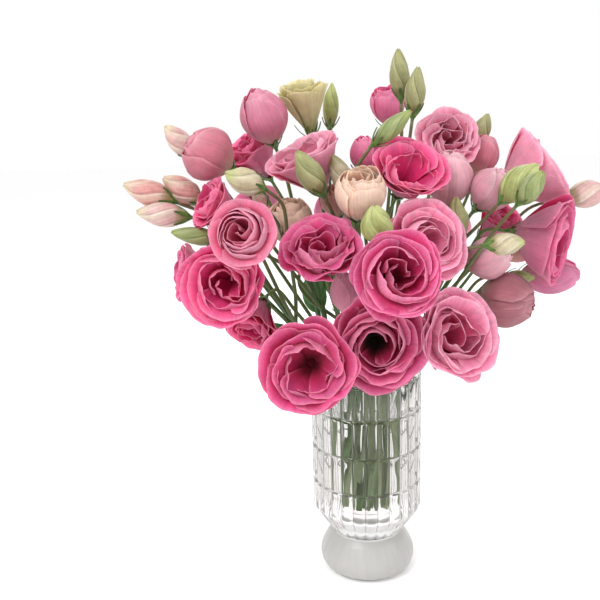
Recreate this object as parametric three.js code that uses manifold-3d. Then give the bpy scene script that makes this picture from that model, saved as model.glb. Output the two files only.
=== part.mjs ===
// A bouquet of cut lisianthus (Eustoma) standing in water in a pressed-glass footed vase.
// Millimetres, +Z up. The origin is the centre of the vase's foot, and the bouquet's best side faces -Y.
import * as THREE from "three";
import Module from "manifold-3d";
import { mergeVertices } from "three/addons/utils/BufferGeometryUtils.js";

const wasm = await Module();
wasm.setup();

// ---------------------------------------------------------------- driving dimensions
const VASE = {
  foot: [[30, 0], [37, 4], [39.5, 10.5], [38.3, 18], [33, 28], [28.5, 33]], // [radius, height]
  bodyRadius: 45,
  bodyFrom: 57.5,
  rim: 172,
  flutes: 28,
  fluteDepth: 1.7,
  bands: [82, 112.5, 144], // heights of the cut rings
  bandDepth: 2,
  bandHalfWidth: 2,
  innerRadius: 38,
  floor: 57,
  coveHeight: 9, // of the slope between the floor and the inner wall
  coveWidth: 7,
  lip: 3, // how far the rim's outer edge is drawn in
  lipHeight: 1.5,
};
const WATER_LEVEL = 145;
const GAP = 0.35; // between pieces that touch
const STEM_RADIUS = 1.9; // at the cut end
const TWIG_RADIUS = 1.5; // of a side stalk
const NECK_RADIUS = 1.25; // of every stalk below its calyx
const HOLE_RADIUS = STEM_RADIUS + 0.7; // of the stems' holes in the water
const STEM_FOOT = VASE.floor + 1.4; // height of the cut ends
const CALYX_DEPTH = 4.5; // from a stalk's end to the calyx's rim
const PETAL_THICKNESS = 1.1;
const LEAF_THICKNESS = 1;
const MOUTH_RINGS = { outer: 29, inner: 15 }; // distance of the stems from the axis at the rim
const STEM_TWIST = 35; // degrees that a stem winds round the axis inside the vase
const FOOT_SPREAD = 0.48; // how far out a stem's cut end is, as a share of its place at the rim

// The heads were arranged from this point, at the height of the bouquet's heart.
const EYE = new THREE.Vector3(-52, -590, 373);

// Each stem: its ring and angle at the rim (degrees, 0 = +X, 90 = +Y), then its heads, leader first.
const STEMS = {
  stem_01: ["outer", 187, ["bud_g08", "bud_g10", "bud_g09"]],
  stem_02: ["outer", 209, ["bloom_17", "bud_g12", "bloom_19", "bud_g11"]],
  stem_03: ["outer", 231, ["bloom_06", "bloom_07", "bloom_05", "bud_g07"]],
  stem_04: ["outer", 165, ["bloom_16", "bloom_18", "bud_g21"]],
  stem_05: ["outer", 253, ["bloom_03", "bloom_08"]],
  stem_06: ["inner", 190, ["bloom_15", "bud_g06", "bloom_30"]],
  stem_07: ["outer", 125, ["bloom_34", "bud_g05", "bloom_35"]],
  stem_08: ["inner", 235, ["bloom_09", "bloom_10"]],
  stem_09: ["inner", 275, ["bloom_31", "bud_g32", "bloom_33"]],
  stem_10: ["outer", 275, ["bloom_01", "bloom_02", "bud_g13"]],
  stem_11: ["inner", 315, ["bloom_12", "bud_g03", "bloom_21"]],
  stem_12: ["inner", 70, ["bud_g01", "bud_g02", "bloom_20"]],
  stem_13: ["inner", 0, ["bloom_13", "bloom_14"]],
  stem_14: ["outer", 297, ["bloom_11", "bud_g18", "bloom_04"]],
  stem_15: ["outer", 319, ["bloom_27", "bud_g16", "bud_g15"]],
  stem_16: ["outer", 47, ["bloom_22", "bloom_28", "bud_g14"]],
  stem_17: ["outer", 25, ["bloom_23", "bloom_29", "bud_g19"]],
  stem_18: ["outer", 3, ["bloom_24", "bud_g22", "bloom_25"]],
  stem_19: ["outer", 341, ["bloom_26", "bud_g17", "bloom_36"]],
  stem_20: ["outer", 85, ["bloom_37", "bloom_38", "bloom_39"]],
};

// Each head: across and up where it is seen from EYE against the upright plane y = 0, its true y,
// the way it faces (degrees to the right of the viewer, degrees up), its radius and its length.
const HEADS = {
  bloom_01: ["open", 25, 250, -115, -6, 17, 28, 36],
  bloom_02: ["open", 9.5, 196, -96, 2, 14, 31.5, 37],
  bloom_03: ["open", -46, 178, -118, -4, 14, 29.5, 38],
  bloom_04: ["open", 70, 199, -83, 24, 24, 30.5, 38],
  bloom_05: ["open", -94, 286, -92, -6, 16, 22, 30],
  bloom_06: ["open", -111, 248, -68, -10, 2, 29, 35],
  bloom_07: ["open", -136, 257, -22, -75, 10, 21, 30],
  bloom_08: ["open", -89, 216, -50, -28, -38, 22.5, 33],
  bloom_09: ["open", -34, 269, -68, -10, 48, 27, 35],
  bloom_10: ["half", -16, 240, -57, -15, 68, 10.5, 36],
  bloom_11: ["open", 45, 275, -72, 20, 24, 29, 35],
  bloom_12: ["open", 33, 328, -50, 20, 44, 27, 35],
  bloom_13: ["open", 63, 353, 10, 0, 28, 23, 32],
  bloom_14: ["half", 65.5, 328, -24, 0, 76, 16.5, 42],
  bloom_15: ["open", -42, 338, -22, -62, 62, 28, 41],
  bloom_16: ["half", -76, 378, -2, -55, 68, 17.5, 42],
  bloom_17: ["half", -121, 350, -20, -64, 30, 19.5, 39],
  bloom_18: ["open", -84, 347, 34, -62, 55, 25, 38],
  bloom_19: ["open", -114, 308, -40, -66, 30, 20, 32],
  bloom_20: ["half", 18, 382, 34, -25, 70, 13, 32],
  bloom_21: ["half", 0, 347, -8, -25, 70, 10.5, 30],
  bloom_22: ["bell", 128, 328, 18, 82, 32, 33, 42],
  bloom_23: ["bell", 141, 277, -26, 58, -8, 32, 42],
  bloom_24: ["half", 150, 247, 20, 72, 4, 15.5, 48],
  bloom_25: ["half", 116, 227, -45, 60, -4, 20, 42],
  bloom_26: ["half", 100, 263, -45, 66, 16, 15, 35],
  bloom_27: ["half", 99.5, 318, -32, 58, 52, 15, 34],
  bloom_28: ["half", 91, 344, 20, 60, 72, 13, 33],
  bloom_29: ["open", 103.5, 289, 14, 40, 42, 19, 34],
  bloom_30: ["half", -58, 296, -14, -20, 70, 17, 36],
  bloom_31: ["half", -3, 316, -70, 0, 62, 17, 38],
  bloom_33: ["half", -23, 311, 2, -26, 60, 11, 26],
  bloom_34: ["open", -44, 383, 18, -45, 76, 20, 40],
  bloom_35: ["open", -80, 300, 88, -140, 26, 27, 36],
  bloom_36: ["half", 120, 276, 66, 120, 22, 18, 40],
  bloom_37: ["open", 56, 285, 96, 150, 22, 28, 36],
  bloom_38: ["open", -14, 300, 104, -172, 34, 27, 36],
  bloom_39: ["half", 28, 336, 66, 165, 58, 18, 40],
  bud_g01: ["bud", 26.5, 407, 0, -30, 80, 7.5, 34],
  bud_g02: ["bud", 39, 394, -15, 20, 78, 7.5, 33],
  bud_g03: ["bud", 24.5, 367, -55, 72, 40, 6.5, 32],
  bud_g05: ["bud", -24.5, 385, 50, 20, 80, 6.5, 34],
  bud_g06: ["bud", -44, 336, -58, -60, 56, 9, 34],
  bud_g07: ["bud", -95, 329, -72, -62, 24, 9, 28],
  bud_g08: ["bud", -170, 322, -20, -80, 22, 10, 36],
  bud_g09: ["bud", -143, 324, -12, -74, 36, 10, 32],
  bud_g10: ["bud", -161, 304, -28, -84, 8, 9, 36],
  bud_g11: ["bud", -136, 287, -45, -80, 12, 6.5, 33],
  bud_g12: ["bud", -142, 361, 5, -66, 48, 9, 30],
  bud_g13: ["bud", 9, 294, -92, -20, 66, 10.5, 27],
  bud_g14: ["bud", 90, 363, 44, 50, 66, 7.5, 27],
  bud_g15: ["bud", 122.5, 323, -62, 56, 46, 11, 33],
  bud_g16: ["bud", 130.5, 319, -84, 40, 50, 7.8, 26],
  bud_g17: ["bud", 114, 273, -78, 76, 4, 8, 23],
  bud_g18: ["bud", 71, 296, -50, -10, 76, 9, 34],
  bud_g19: ["bud", 177, 311, 28, 80, 10, 11, 34],
  bud_g21: ["bud", -82, 314, -54, -30, 40, 5, 15],
  bud_g22: ["bud", 125, 246, 5, 70, 0, 5.5, 22],
  bud_g32: ["bud", -19, 333, -34, -70, 62, 8, 32],
};

// Leaves: stem, how far up it (share of its free length), length, width, and turn round it in degrees.
const LEAVES = [
  ["stem_08", 0.3, 44, 18, 205],
  ["stem_19", 0.32, 42, 16, 312],
  ["stem_14", 0.25, 34, 15, 330],
  ["stem_03", 0.3, 38, 14, 160],
  ["stem_07", 0.32, 44, 17, 90],
  ["stem_20", 0.3, 46, 18, 60],
  ["stem_16", 0.34, 42, 16, 84],
  ["stem_04", 0.26, 46, 20, 90],
  ["stem_20", 0.42, 40, 14, 150],
];

// ---------------------------------------------------------------- small helpers
const rad = THREE.MathUtils.degToRad;
const V = (x, y, z) => new THREE.Vector3(x, y, z);
const lerp = THREE.MathUtils.lerp;

// A repeatable number from 0 to 1 for two whole numbers.
function chance(a, b) {
  const s = Math.sin(a * 12.9898 + b * 78.233) * 43758.5453;
  return s - Math.floor(s);
}

// The direction of an azimuth, measured from -Y towards +X, and an elevation, in degrees.
function direction(azimuth, elevation) {
  const a = rad(azimuth);
  const e = rad(elevation);
  return V(Math.sin(a) * Math.cos(e), -Math.cos(a) * Math.cos(e), Math.sin(e));
}

function geometry(points, faces) {
  const places = new Float32Array(points.flatMap((p) => [p.x, p.y, p.z]));
  const made = new THREE.BufferGeometry();
  made.setAttribute("position", new THREE.BufferAttribute(places, 3));
  made.setIndex(faces.flat());
  return made;
}

// A closed solid of these faces. Faces that share their corners because points coincide are dropped.
function solid(points, faces) {
  const merged = mergeVertices(geometry(points, faces), 1e-4);
  const corners = merged.index.array;
  const kept = [];
  for (let t = 0; t < corners.length; t += 3) {
    const [a, b, c] = corners.subarray(t, t + 3);
    if (a !== b && b !== c && c !== a) kept.push(a, b, c);
  }
  return new wasm.Manifold(
    new wasm.Mesh({ numProp: 3, vertProperties: merged.attributes.position.array, triVerts: new Uint32Array(kept) }),
  );
}

// A closed skin over rings of points, counterclockwise seen from the last ring. A ring may be one point, and
// neighbouring rings have as many points or half as many.
function skin(rings) {
  const starts = [0];
  for (const ring of rings) starts.push(starts.at(-1) + ring.length);
  const faces = [];
  for (let i = 0; i + 1 < rings.length; i++) {
    const [a, b] = [rings[i].length, rings[i + 1].length];
    const [p, q] = [starts[i], starts[i + 1]];
    const most = Math.max(a, b);
    for (let k = 0; k < most; k++) {
      const next = (k + 1) % most;
      const lowA = p + Math.floor((k * a) / most);
      const highA = p + (Math.floor(((k + 1) * a) / most) % a);
      const lowB = q + Math.floor((k * b) / most);
      const highB = q + (Math.floor(((k + 1) * b) / most) % b);
      if (a === most) faces.push([p + k, p + next, highB]);
      else if (lowA !== highA) faces.push([lowA, highA, highB]);
      if (lowB !== highB) faces.push([lowA, highB, lowB]);
    }
  }
  const cap = (ring, start, flip) => {
    for (let k = 1; k + 1 < ring.length; k++) {
      faces.push(flip ? [start, start + k + 1, start + k] : [start, start + k, start + k + 1]);
    }
  };
  cap(rings[0], starts[0], true);
  cap(rings.at(-1), starts.at(-2), false);
  return solid(rings.flat(), faces);
}

function circle(count, radius, height, turn = 0) {
  return Array.from({ length: count }, (_, k) => {
    const a = ((k + turn) / count) * 2 * Math.PI;
    return V(radius * Math.cos(a), radius * Math.sin(a), height);
  });
}

// The directions across and along a line of points, carried along it without twist.
function frames(points) {
  let side = V(0.31, 0.95, 0.05);
  return points.map((origin, i) => {
    const [before, after] = [points[Math.max(i - 1, 0)], points[Math.min(i + 1, points.length - 1)]];
    const along = after.clone().sub(before).normalize();
    side = side.clone().addScaledVector(along, -side.dot(along)).normalize();
    return { origin, along, side, up: along.clone().cross(side) };
  });
}

// A ring of count points round a frame. at(k) gives the radius and the height of point k.
function hoop(frame, count, at, turn = 0) {
  return Array.from({ length: count }, (_, k) => {
    const [radius, height] = at(k);
    const a = ((k + turn) / count) * 2 * Math.PI;
    return frame.origin
      .clone()
      .addScaledVector(frame.side, radius * Math.cos(a))
      .addScaledVector(frame.up, radius * Math.sin(a))
      .addScaledVector(frame.along, height);
  });
}

function tubeRings(points, radii, sides) {
  return frames(points).map((frame, i) => hoop(frame, sides, () => [radii[i], 0]));
}

// A cross-section of a thin blade at v: left edge, one face's middle, right edge, the other face's middle.
// surface(u, v) gives a point for u from -1 to 1 across and v from 0 to 1 along.
function bladeRing(surface, v, thickness) {
  const step = 0.02;
  const across = surface(step, v).sub(surface(-step, v));
  const along = surface(0, v + step).sub(surface(0, v - step));
  const away = across.cross(along).setLength(thickness / 2);
  const middle = surface(0, v);
  return [surface(-1, v), middle.clone().add(away), surface(1, v), middle.clone().sub(away)];
}

// The faces between two such cross-sections, given as numbers of points. On both faces the diagonals start from
// the middle, so that the faces of a waved blade stay clear of each other.
function bladeFaces([left, outer, right, inner], [leftUp, outerUp, rightUp, innerUp]) {
  return [
    [left, outer, leftUp], [outer, outerUp, leftUp], [outer, right, rightUp], [outer, rightUp, outerUp],
    [right, inner, rightUp], [inner, innerUp, rightUp], [inner, left, leftUp], [inner, leftUp, innerUp],
  ];
}

// These solids as one body. A hollow that joining them seals is filled, and a loose scrap is dropped.
function fuse(solids) {
  const bodies = wasm.Manifold.union(solids).decompose();
  return bodies.reduce((most, body) => (body.volume() > most.volume() ? body : most));
}

// ---------------------------------------------------------------- heads: place and shape
// The middle of a head is this share of its length above its base.
const MIDDLE = 0.6;

function placeHead(name, index) {
  const [kind, across, up, depth, azimuth, elevation, radius, length] = HEADS[name];
  const seen = V(across, 0, up).sub(EYE);
  const middle = EYE.clone().addScaledVector(seen, (depth - EYE.y) / -EYE.y);
  const axis = direction(azimuth, elevation);
  const base = middle.clone().addScaledVector(axis, -MIDDLE * length);
  const side = V(0, 0, 1).cross(axis).normalize();
  const turn = new THREE.Matrix4().makeBasis(side, axis.clone().cross(side), axis).setPosition(base);
  return { name, kind, radius, length, axis, base, turn, seed: index + 1 };
}

const heads = Object.fromEntries(Object.keys(HEADS).map((name, i) => [name, placeHead(name, i)]));

// Whorls of petals: their rim's radius and height as shares of the head's, the shape of their side as a cubic in v,
// how much they arch, how wide each is as a share of its place, how far its edges lie out and in as a share of the
// rim's radius, and the height of its waves in mm.
const PETALS = 5; // in each whorl
const ROWS = [0.33, 0.68, 1]; // cross-sections along a petal
const OUTER = {
  reach: 1, rise: 0.94, side: [0.07, 1.22, -0.29, 0], arch: 1.35, spread: 1.2, overlap: 0.08, ruffle: 0.7,
};
const BELL = { ...OUTER, side: [0.08, 1.85, -1.04, 0.11] };
const INNER = {
  reach: 0.62, rise: 0.96, side: [0.08, 0.75, 0.17, 0], arch: 1.25, spread: 1.16, overlap: 0.09, ruffle: 0.6,
};
const WRAPPED = {
  reach: 1, rise: 1, side: [0.1, 3.35, -3.26, 0.26], arch: 1, spread: 1.2, overlap: 0.105, ruffle: 0.5,
};

// What a head is made of: whorls from the outside in, then its rolled heart as rings of [radius, height] shares,
// and the height of the heart's tip.
const FLOWERS = {
  open: { whorls: [OUTER, INNER], heart: [[0.09, 0.26]], tip: 0.5 },
  bell: { whorls: [BELL, INNER], heart: [[0.09, 0.26]], tip: 0.5 },
  half: { whorls: [WRAPPED], heart: [[0.42, 0.3], [0.32, 0.64]], tip: 0.92 },
};
const SEAT = { radius: 2.6, step: 2.4, height: 1.6 }; // the disc that the petals grow from, one step for each whorl

// A point of petal k of whorl w in the head's own frame, whose +Z is its axis. The wall of a whorl is a curve of
// radius r and height z, and the petal's edges lie off it along its normal.
function petalPoint(head, whorl, w, k, u, v) {
  const luck = (n) => chance(head.seed * 7 + w, k * 5 + n) - 0.5;
  const rim = head.radius * whorl.reach * (1 + 0.04 * luck(1));
  const top = head.length * whorl.rise * (1 + 0.05 * luck(2));
  const low = v - 0.1 * u * u * v; // the sides end lower, so that the tip is round
  const [root, a, b, c] = whorl.side;
  const r = rim * (root + low * (a + low * (b + low * c)));
  const z = w * SEAT.step + (top - w * SEAT.step) * low * (whorl.arch - (whorl.arch - 1) * low);
  const slopeR = rim * (a + 2 * b * low + 3 * c * low * low);
  const slopeZ = top * (whorl.arch - 2 * (whorl.arch - 1) * low);
  const slope = Math.hypot(slopeR, slopeZ);
  const wide = 1 - (1 - v) ** 4; // from a narrow root
  const angle = ((2 * k + w + u * whorl.spread * wide) / PETALS) * Math.PI + head.seed;
  const wave = Math.cos(3.8 * u) * whorl.ruffle * v * v;
  const off = whorl.overlap * rim * u * Math.min(1, 1.6 * v) + wave;
  const out = r + (off * slopeZ) / slope;
  return V(out * Math.cos(angle), out * Math.sin(angle), z - (off * slopeR) / slope);
}

// A flower in one skin: each petal grows out of one side of the seat, and the heart out of its top.
function bloomSolid(head) {
  const { whorls, heart, tip } = FLOWERS[head.kind];
  const points = [];
  const faces = [];
  const add = (ring) => ring.map((p) => points.push(p) - 1);
  const stitch = (low, high) => {
    low.forEach((a, k) => {
      const next = (k + 1) % low.length;
      faces.push([a, low[next], high[next]], [a, high[next], high[k]]);
    });
  };
  const seatRing = (w, radius, height) => {
    const start = (w - 1) / 2 + (head.seed * PETALS) / (2 * Math.PI);
    return add(circle(PETALS, radius, height, start));
  };
  let below;
  whorls.forEach((whorl, w) => {
    const low = seatRing(w, SEAT.radius - 0.4 * w, w * SEAT.step);
    const high = seatRing(w, SEAT.radius - 0.4 * w, w * SEAT.step + SEAT.height);
    if (below) stitch(below, low);
    else faces.push([low[0], low[2], low[1]], [low[0], low[3], low[2]], [low[0], low[4], low[3]]);
    for (let k = 0; k < PETALS; k++) {
      const next = (k + 1) % PETALS;
      const surface = (u, v) => petalPoint(head, whorl, w, k, u, v);
      const rings = ROWS.map((v) => add(bladeRing(surface, v, v < 1 ? PETAL_THICKNESS : 0)));
      stitch([low[k], low[next], high[next], high[k]], rings[0]);
      rings.slice(1).forEach((ring, i) => faces.push(...bladeFaces(rings[i], ring)));
    }
    below = high;
  });
  for (const [radius, height] of heart) {
    const ring = seatRing(whorls.length - 1, radius * head.radius, height * head.length);
    stitch(below, ring);
    below = ring;
  }
  const [top] = add([V(0, 0, tip * head.length)]);
  below.forEach((a, k) => faces.push([a, below[(k + 1) % PETALS], top]));
  return solid(points, faces).transform(head.turn.elements);
}

// ---------------------------------------------------------------- stems: routes
const CLEARANCE = 3; // of a stalk from a head
const APART = 2.8; // between stalks
const RIM_CLEARANCE = 6; // of a stalk above the vase's rim
const REACH = 60; // segments that start further apart than this aren't tested
const ROUNDS = 140; // of settling
const SMOOTHING = 0.14;

function stalkEnd(head) {
  return head.base.clone().addScaledVector(head.axis, -GAP - CALYX_DEPTH);
}

// A smooth route of count segments that ends square under a head.
function curveTo(start, heading, head, count) {
  const end = stalkEnd(head);
  const reach = start.distanceTo(end);
  const leave = start.clone().addScaledVector(heading, 0.38 * reach);
  const arrive = end.clone().addScaledVector(head.axis, -0.3 * reach);
  return new THREE.CubicBezierCurve3(start, leave, arrive, end).getPoints(count);
}

// A stem's routes: the main one from its cut end to its leader, then a side stalk to each other head.
function stemRoutes(name) {
  const [ring, angle, members] = STEMS[name];
  const radius = MOUTH_RINGS[ring];
  const place = (turn, out, height) => V(out * Math.cos(rad(turn)), out * Math.sin(rad(turn)), height);
  const mouth = place(angle, radius, VASE.rim);
  const foot = place(angle + STEM_TWIST, FOOT_SPREAD * radius, STEM_FOOT);
  const heading = mouth.clone().sub(foot).normalize();
  const free = curveTo(mouth, heading, heads[members[0]], 7);
  const main = { stem: name, head: heads[members[0]], points: free, foot, thick: STEM_RADIUS };
  const twigs = members.slice(1).map((member, i) => {
    const at = 1 + (i % 3);
    const along = free[at + 1].clone().sub(free[at]).normalize();
    const toHead = heads[member].base.clone().sub(free[at]).normalize();
    const points = curveTo(free[at], along.add(toHead).normalize(), heads[member], 5);
    return { stem: name, head: heads[member], points, from: main, at, thick: TWIG_RADIUS };
  });
  return [main, ...twigs];
}

// Balls that stand for a head while the stalks are bent clear of it: [share of its length, share of its radius].
const BALLS = {
  open: [[0.22, 0.34], [0.5, 0.6], [0.8, 0.86]],
  bell: [[0.22, 0.44], [0.5, 0.74], [0.8, 0.9]],
  half: [[0.3, 0.9], [0.62, 1], [0.9, 0.7]],
  bud: [[0.35, 1], [0.7, 0.85]],
};

function headBalls(head) {
  return BALLS[head.kind].map(([up, size]) => {
    const centre = head.base.clone().addScaledVector(head.axis, up * head.length);
    return { head, centre, radius: size * head.radius };
  });
}

// How far to push the segments p1-p2 and q1-q2 apart where they pass closer than gap, and where along each.
function separate(p1, p2, q1, q2, gap) {
  const d1 = p2.clone().sub(p1);
  const d2 = q2.clone().sub(q1);
  const r = p1.clone().sub(q1);
  const [a, e, f, c, b] = [d1.dot(d1), d2.dot(d2), d2.dot(r), d1.dot(r), d1.dot(d2)];
  const denominator = a * e - b * b;
  const clamp = (x) => Math.min(1, Math.max(0, x));
  let s = denominator > 1e-9 ? clamp((b * f - c * e) / denominator) : 0.5;
  const t = clamp((b * s + f) / e);
  s = clamp((b * t - c) / a);
  const between = r.addScaledVector(d1, s).addScaledVector(d2, -t);
  const distance = between.length();
  if (distance >= gap) return null;
  const push = distance > 1e-6 ? between.multiplyScalar(0.5 * (gap / distance - 1)) : V(0.5 * gap, 0, 0);
  return { push, s, t };
}

// Bends the stalks clear of the heads and of each other, with their ends held.
function settle(routes) {
  const balls = Object.values(heads).flatMap(headBalls);
  const spans = routes.flatMap((route) => route.points.slice(1).map((_, i) => ({ route, i })));
  const related = (a, b) => a === b || a.from === b || b.from === a || (a.from && a.from === b.from);
  const free = (route, i) => i > 0 && i < route.points.length - 2;
  for (let round = 0; round < ROUNDS; round++) {
    const moves = new Map(routes.map((route) => [route, route.points.map(() => V(0, 0, 0))]));
    for (const route of routes) {
      route.points.forEach((p, i) => {
        if (!free(route, i)) return;
        for (const ball of balls) {
          if (ball.head === route.head && i > route.points.length - 4) continue;
          const away = p.clone().sub(ball.centre);
          const need = ball.radius + CLEARANCE + route.thick;
          const distance = away.length();
          if (distance < need) moves.get(route)[i].addScaledVector(away, 0.6 * (need / distance - 1));
        }
        if (p.z < VASE.rim + RIM_CLEARANCE) moves.get(route)[i].z += 0.5 * (VASE.rim + RIM_CLEARANCE - p.z);
        const middle = route.points[i - 1].clone().add(route.points[i + 1]).multiplyScalar(0.5);
        moves.get(route)[i].addScaledVector(middle.sub(p), SMOOTHING);
      });
    }
    for (let m = 0; m < spans.length; m++) {
      const { route: a, i } = spans[m];
      for (let n = m + 1; n < spans.length; n++) {
        const { route: b, i: j } = spans[n];
        if (related(a, b) && (a === b || i < 3 || j < 3)) continue;
        const gap = a.thick + b.thick + APART;
        if (a.points[i].distanceTo(b.points[j]) > REACH) continue;
        const hit = separate(a.points[i], a.points[i + 1], b.points[j], b.points[j + 1], gap);
        if (!hit) continue;
        const pushed = [[a, i, 1 - hit.s], [a, i + 1, hit.s], [b, j, 1 - hit.t], [b, j + 1, hit.t]];
        for (const [route, at, share] of pushed) {
          const sign = route === a ? 1 : -1;
          if (free(route, at)) moves.get(route)[at].addScaledVector(hit.push, sign * Math.min(1, 2 * share));
        }
      }
    }
    for (const route of routes) {
      route.points.forEach((p, i) => free(route, i) && p.add(moves.get(route)[i]));
      if (route.from) route.points[0].copy(route.from.points[route.at]);
    }
  }
}

const routes = Object.keys(STEMS).flatMap(stemRoutes);
settle(routes);

// ---------------------------------------------------------------- stems: solids
// The calyx: its cup's radius, and its sepals' length and lean from the head's axis in degrees.
function calyxShape(head) {
  const lean = rad({ open: 52, bell: 52, half: 58, bud: 44 }[head.kind]);
  const cup = head.kind === "bud" ? 0.3 * head.radius + 0.7 : 3.3;
  const sepal = { open: 12, bell: 12, half: 11, bud: 10 }[head.kind];
  return { cup, tipRadius: cup + sepal * Math.sin(lean), tipHeight: sepal * Math.cos(lean) };
}

// A closed bud: a spindle with three low ridges that wind round it.
const BUD_PROFILE = [[0.98, 0.36], [0.84, 0.68], [0.34, 0.94]]; // [share of the radius, share of the length]

// A stalk from its root to the calyx under its head, and on a bud's stalk the bud too, in one skin.
function stalkSolid(route) {
  const { head, thick } = route;
  const points = route.foot ? [route.foot, ...route.points] : route.points;
  const sides = route.foot ? 4 : 3;
  const radii = points.map((_, i) => lerp(thick, NECK_RADIUS, i / (points.length - 1)));
  if (route.from) radii[0] = 0.7 * TWIG_RADIUS; // sunk in the main stem
  const rings = tubeRings(points, radii, sides);
  const { side } = frames(points).at(-1);
  const across = side.addScaledVector(head.axis, -side.dot(head.axis)).normalize();
  const end = { origin: head.base, along: head.axis, side: across, up: head.axis.clone().cross(across) };
  const { cup, tipRadius, tipHeight } = calyxShape(head);
  rings.push(hoop(end, 2 * sides, () => [0.85 * cup, -GAP - 1.7]));
  rings.push(hoop(end, 2 * sides, (k) => (k % 2 ? [cup, -GAP - 0.6] : [tipRadius, tipHeight])));
  rings.push(hoop(end, 2 * sides, () => [0.85 * cup, -GAP]));
  if (head.kind === "bud") {
    BUD_PROFILE.forEach(([share, height], i) => {
      const ridge = (k) => share * head.radius * (k % 2 ? 1.08 : 0.92);
      rings.push(hoop(end, 2 * sides, (k) => [ridge(k), height * head.length], 0.35 * (i + 1)));
    });
    rings.push([head.base.clone().addScaledVector(head.axis, head.length)]);
  }
  return skin(rings);
}

// A pointed oval leaf that leaves its stem upwards and bends out.
const LEAF_ROWS = [0, 0.25, 0.5, 0.75, 1]; // cross-sections along a leaf
const LEAF_TIP = 1.2; // least half-width

function leafSolid([stem, share, length, width, turn]) {
  const route = routes.find((r) => r.stem === stem && r.foot);
  const at = share * (route.points.length - 1);
  const i = Math.floor(at);
  const root = route.points[i].clone().lerp(route.points[i + 1], at - i);
  const along = route.points[i + 1].clone().sub(route.points[i]).normalize();
  const out = V(Math.cos(rad(turn)), Math.sin(rad(turn)), 0);
  const side = along.clone().cross(out).normalize();
  const surface = (u, v) => {
    const half = Math.max(LEAF_TIP, 1.15 * width * Math.sqrt(Math.max(0, v)) * Math.max(0, 1 - v) ** 0.8);
    return root
      .clone()
      .addScaledVector(along, length * v * (0.86 - 0.3 * v))
      .addScaledVector(out, length * (0.28 * v + 0.42 * v * v) + 0.12 * width * u * u)
      .addScaledVector(side, u * half);
  };
  const rings = LEAF_ROWS.map((v) => bladeRing(surface, v, v < 1 ? LEAF_THICKNESS : 0));
  const numbers = rings.map((_, j) => [4 * j, 4 * j + 1, 4 * j + 2, 4 * j + 3]);
  const sides = numbers.slice(1).flatMap((ring, j) => bladeFaces(numbers[j], ring));
  return solid(rings.flat(), [[0, 3, 1], [1, 3, 2], ...sides]);
}

function stemSolid(name) {
  const stalks = routes.filter((route) => route.stem === name).map(stalkSolid);
  const leaves = LEAVES.filter(([stem]) => stem === name).map(leafSolid);
  return fuse([...stalks, ...leaves]);
}

// ---------------------------------------------------------------- vase and water
function fluted(height, radius) {
  const count = 2 * VASE.flutes;
  return circle(count, 1, height).map((c, k) => {
    const r = radius - (k % 2 ? VASE.fluteDepth : 0);
    return V(c.x * r, c.y * r, height);
  });
}

function vaseSolid() {
  const body = VASE.bodyRadius;
  const rings = VASE.foot.map(([r, z]) => circle(VASE.flutes, r, z));
  rings.push(fluted(VASE.bodyFrom, body));
  for (const z of VASE.bands) {
    rings.push(fluted(z - VASE.bandHalfWidth, body));
    rings.push(circle(VASE.flutes, body - VASE.bandDepth, z));
    rings.push(fluted(z + VASE.bandHalfWidth, body));
  }
  rings.push(fluted(VASE.rim - VASE.lipHeight, body));
  rings.push(circle(VASE.flutes, body - VASE.lip, VASE.rim));
  rings.push(circle(VASE.flutes, VASE.innerRadius, VASE.rim));
  rings.push(circle(VASE.flutes, VASE.innerRadius, VASE.floor + VASE.coveHeight));
  rings.push(circle(VASE.flutes, VASE.innerRadius - VASE.coveWidth, VASE.floor));
  return skin(rings);
}

function waterSolid() {
  const r = VASE.innerRadius - GAP;
  const body = skin([
    circle(VASE.flutes, r - VASE.coveWidth, VASE.floor + GAP),
    circle(VASE.flutes, r, VASE.floor + VASE.coveHeight + GAP),
    circle(VASE.flutes, r, WATER_LEVEL),
  ]);
  const holes = routes
    .filter((route) => route.foot)
    .map((route) => {
      const [foot, mouth] = [route.foot, route.points[0]];
      const low = foot.clone().lerp(mouth, -GAP / (mouth.z - foot.z));
      return skin(tubeRings([low, mouth], [HOLE_RADIUS, HOLE_RADIUS], 4));
    });
  return body.subtract(wasm.Manifold.union(holes));
}

// ---------------------------------------------------------------- colours and the whole bouquet
const COLOURS = {
  open: [0xe0608e, 0xe87aa2, 0xd84a7e],
  bell: [0xe58fae, 0xeda2bd, 0xdc7ba0],
  half: [0xeda2b4, 0xe88aa6, 0xe9b8a8],
};

function paint(color, roughness = 0.6, opacity = 1) {
  return new THREE.MeshStandardMaterial({ color, roughness, metalness: 0, opacity, transparent: opacity < 1 });
}

function named(name, body, material) {
  const made = body.getMesh();
  const corners = made.vertProperties;
  const points = Array.from({ length: made.numVert }, (_, n) => V(...corners.subarray(made.numProp * n)));
  const faces = Array.from({ length: made.numTri }, (_, t) => [...made.triVerts.subarray(3 * t, 3 * t + 3)]);
  const mesh = new THREE.Mesh(geometry(points, faces), material);
  mesh.name = name;
  return mesh;
}

const bouquet = new THREE.Group();
bouquet.name = "lisianthus_in_vase";
bouquet.add(named("vase", vaseSolid(), paint(0xdfe6e4, 0.05, 0.35)));
bouquet.add(named("water", waterSolid(), paint(0xe8f2ee, 0.02, 0.3)));
for (const name of Object.keys(STEMS)) bouquet.add(named(name, stemSolid(name), paint(0x6f8f4a)));
for (const head of Object.values(heads)) {
  if (head.kind === "bud") continue; // a bud is part of its stem
  const shades = COLOURS[head.kind];
  bouquet.add(named(head.name, bloomSolid(head), paint(shades[head.seed % shades.length])));
}

export default bouquet;
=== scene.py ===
"""Looks for a bunch of pink lisianthus in a pressed-glass footed vase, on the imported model's frame.

Shapes are worked out in millimetres, with +Z up and the bunch's best side facing -Y, and made in metres.
"""

import math

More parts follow.
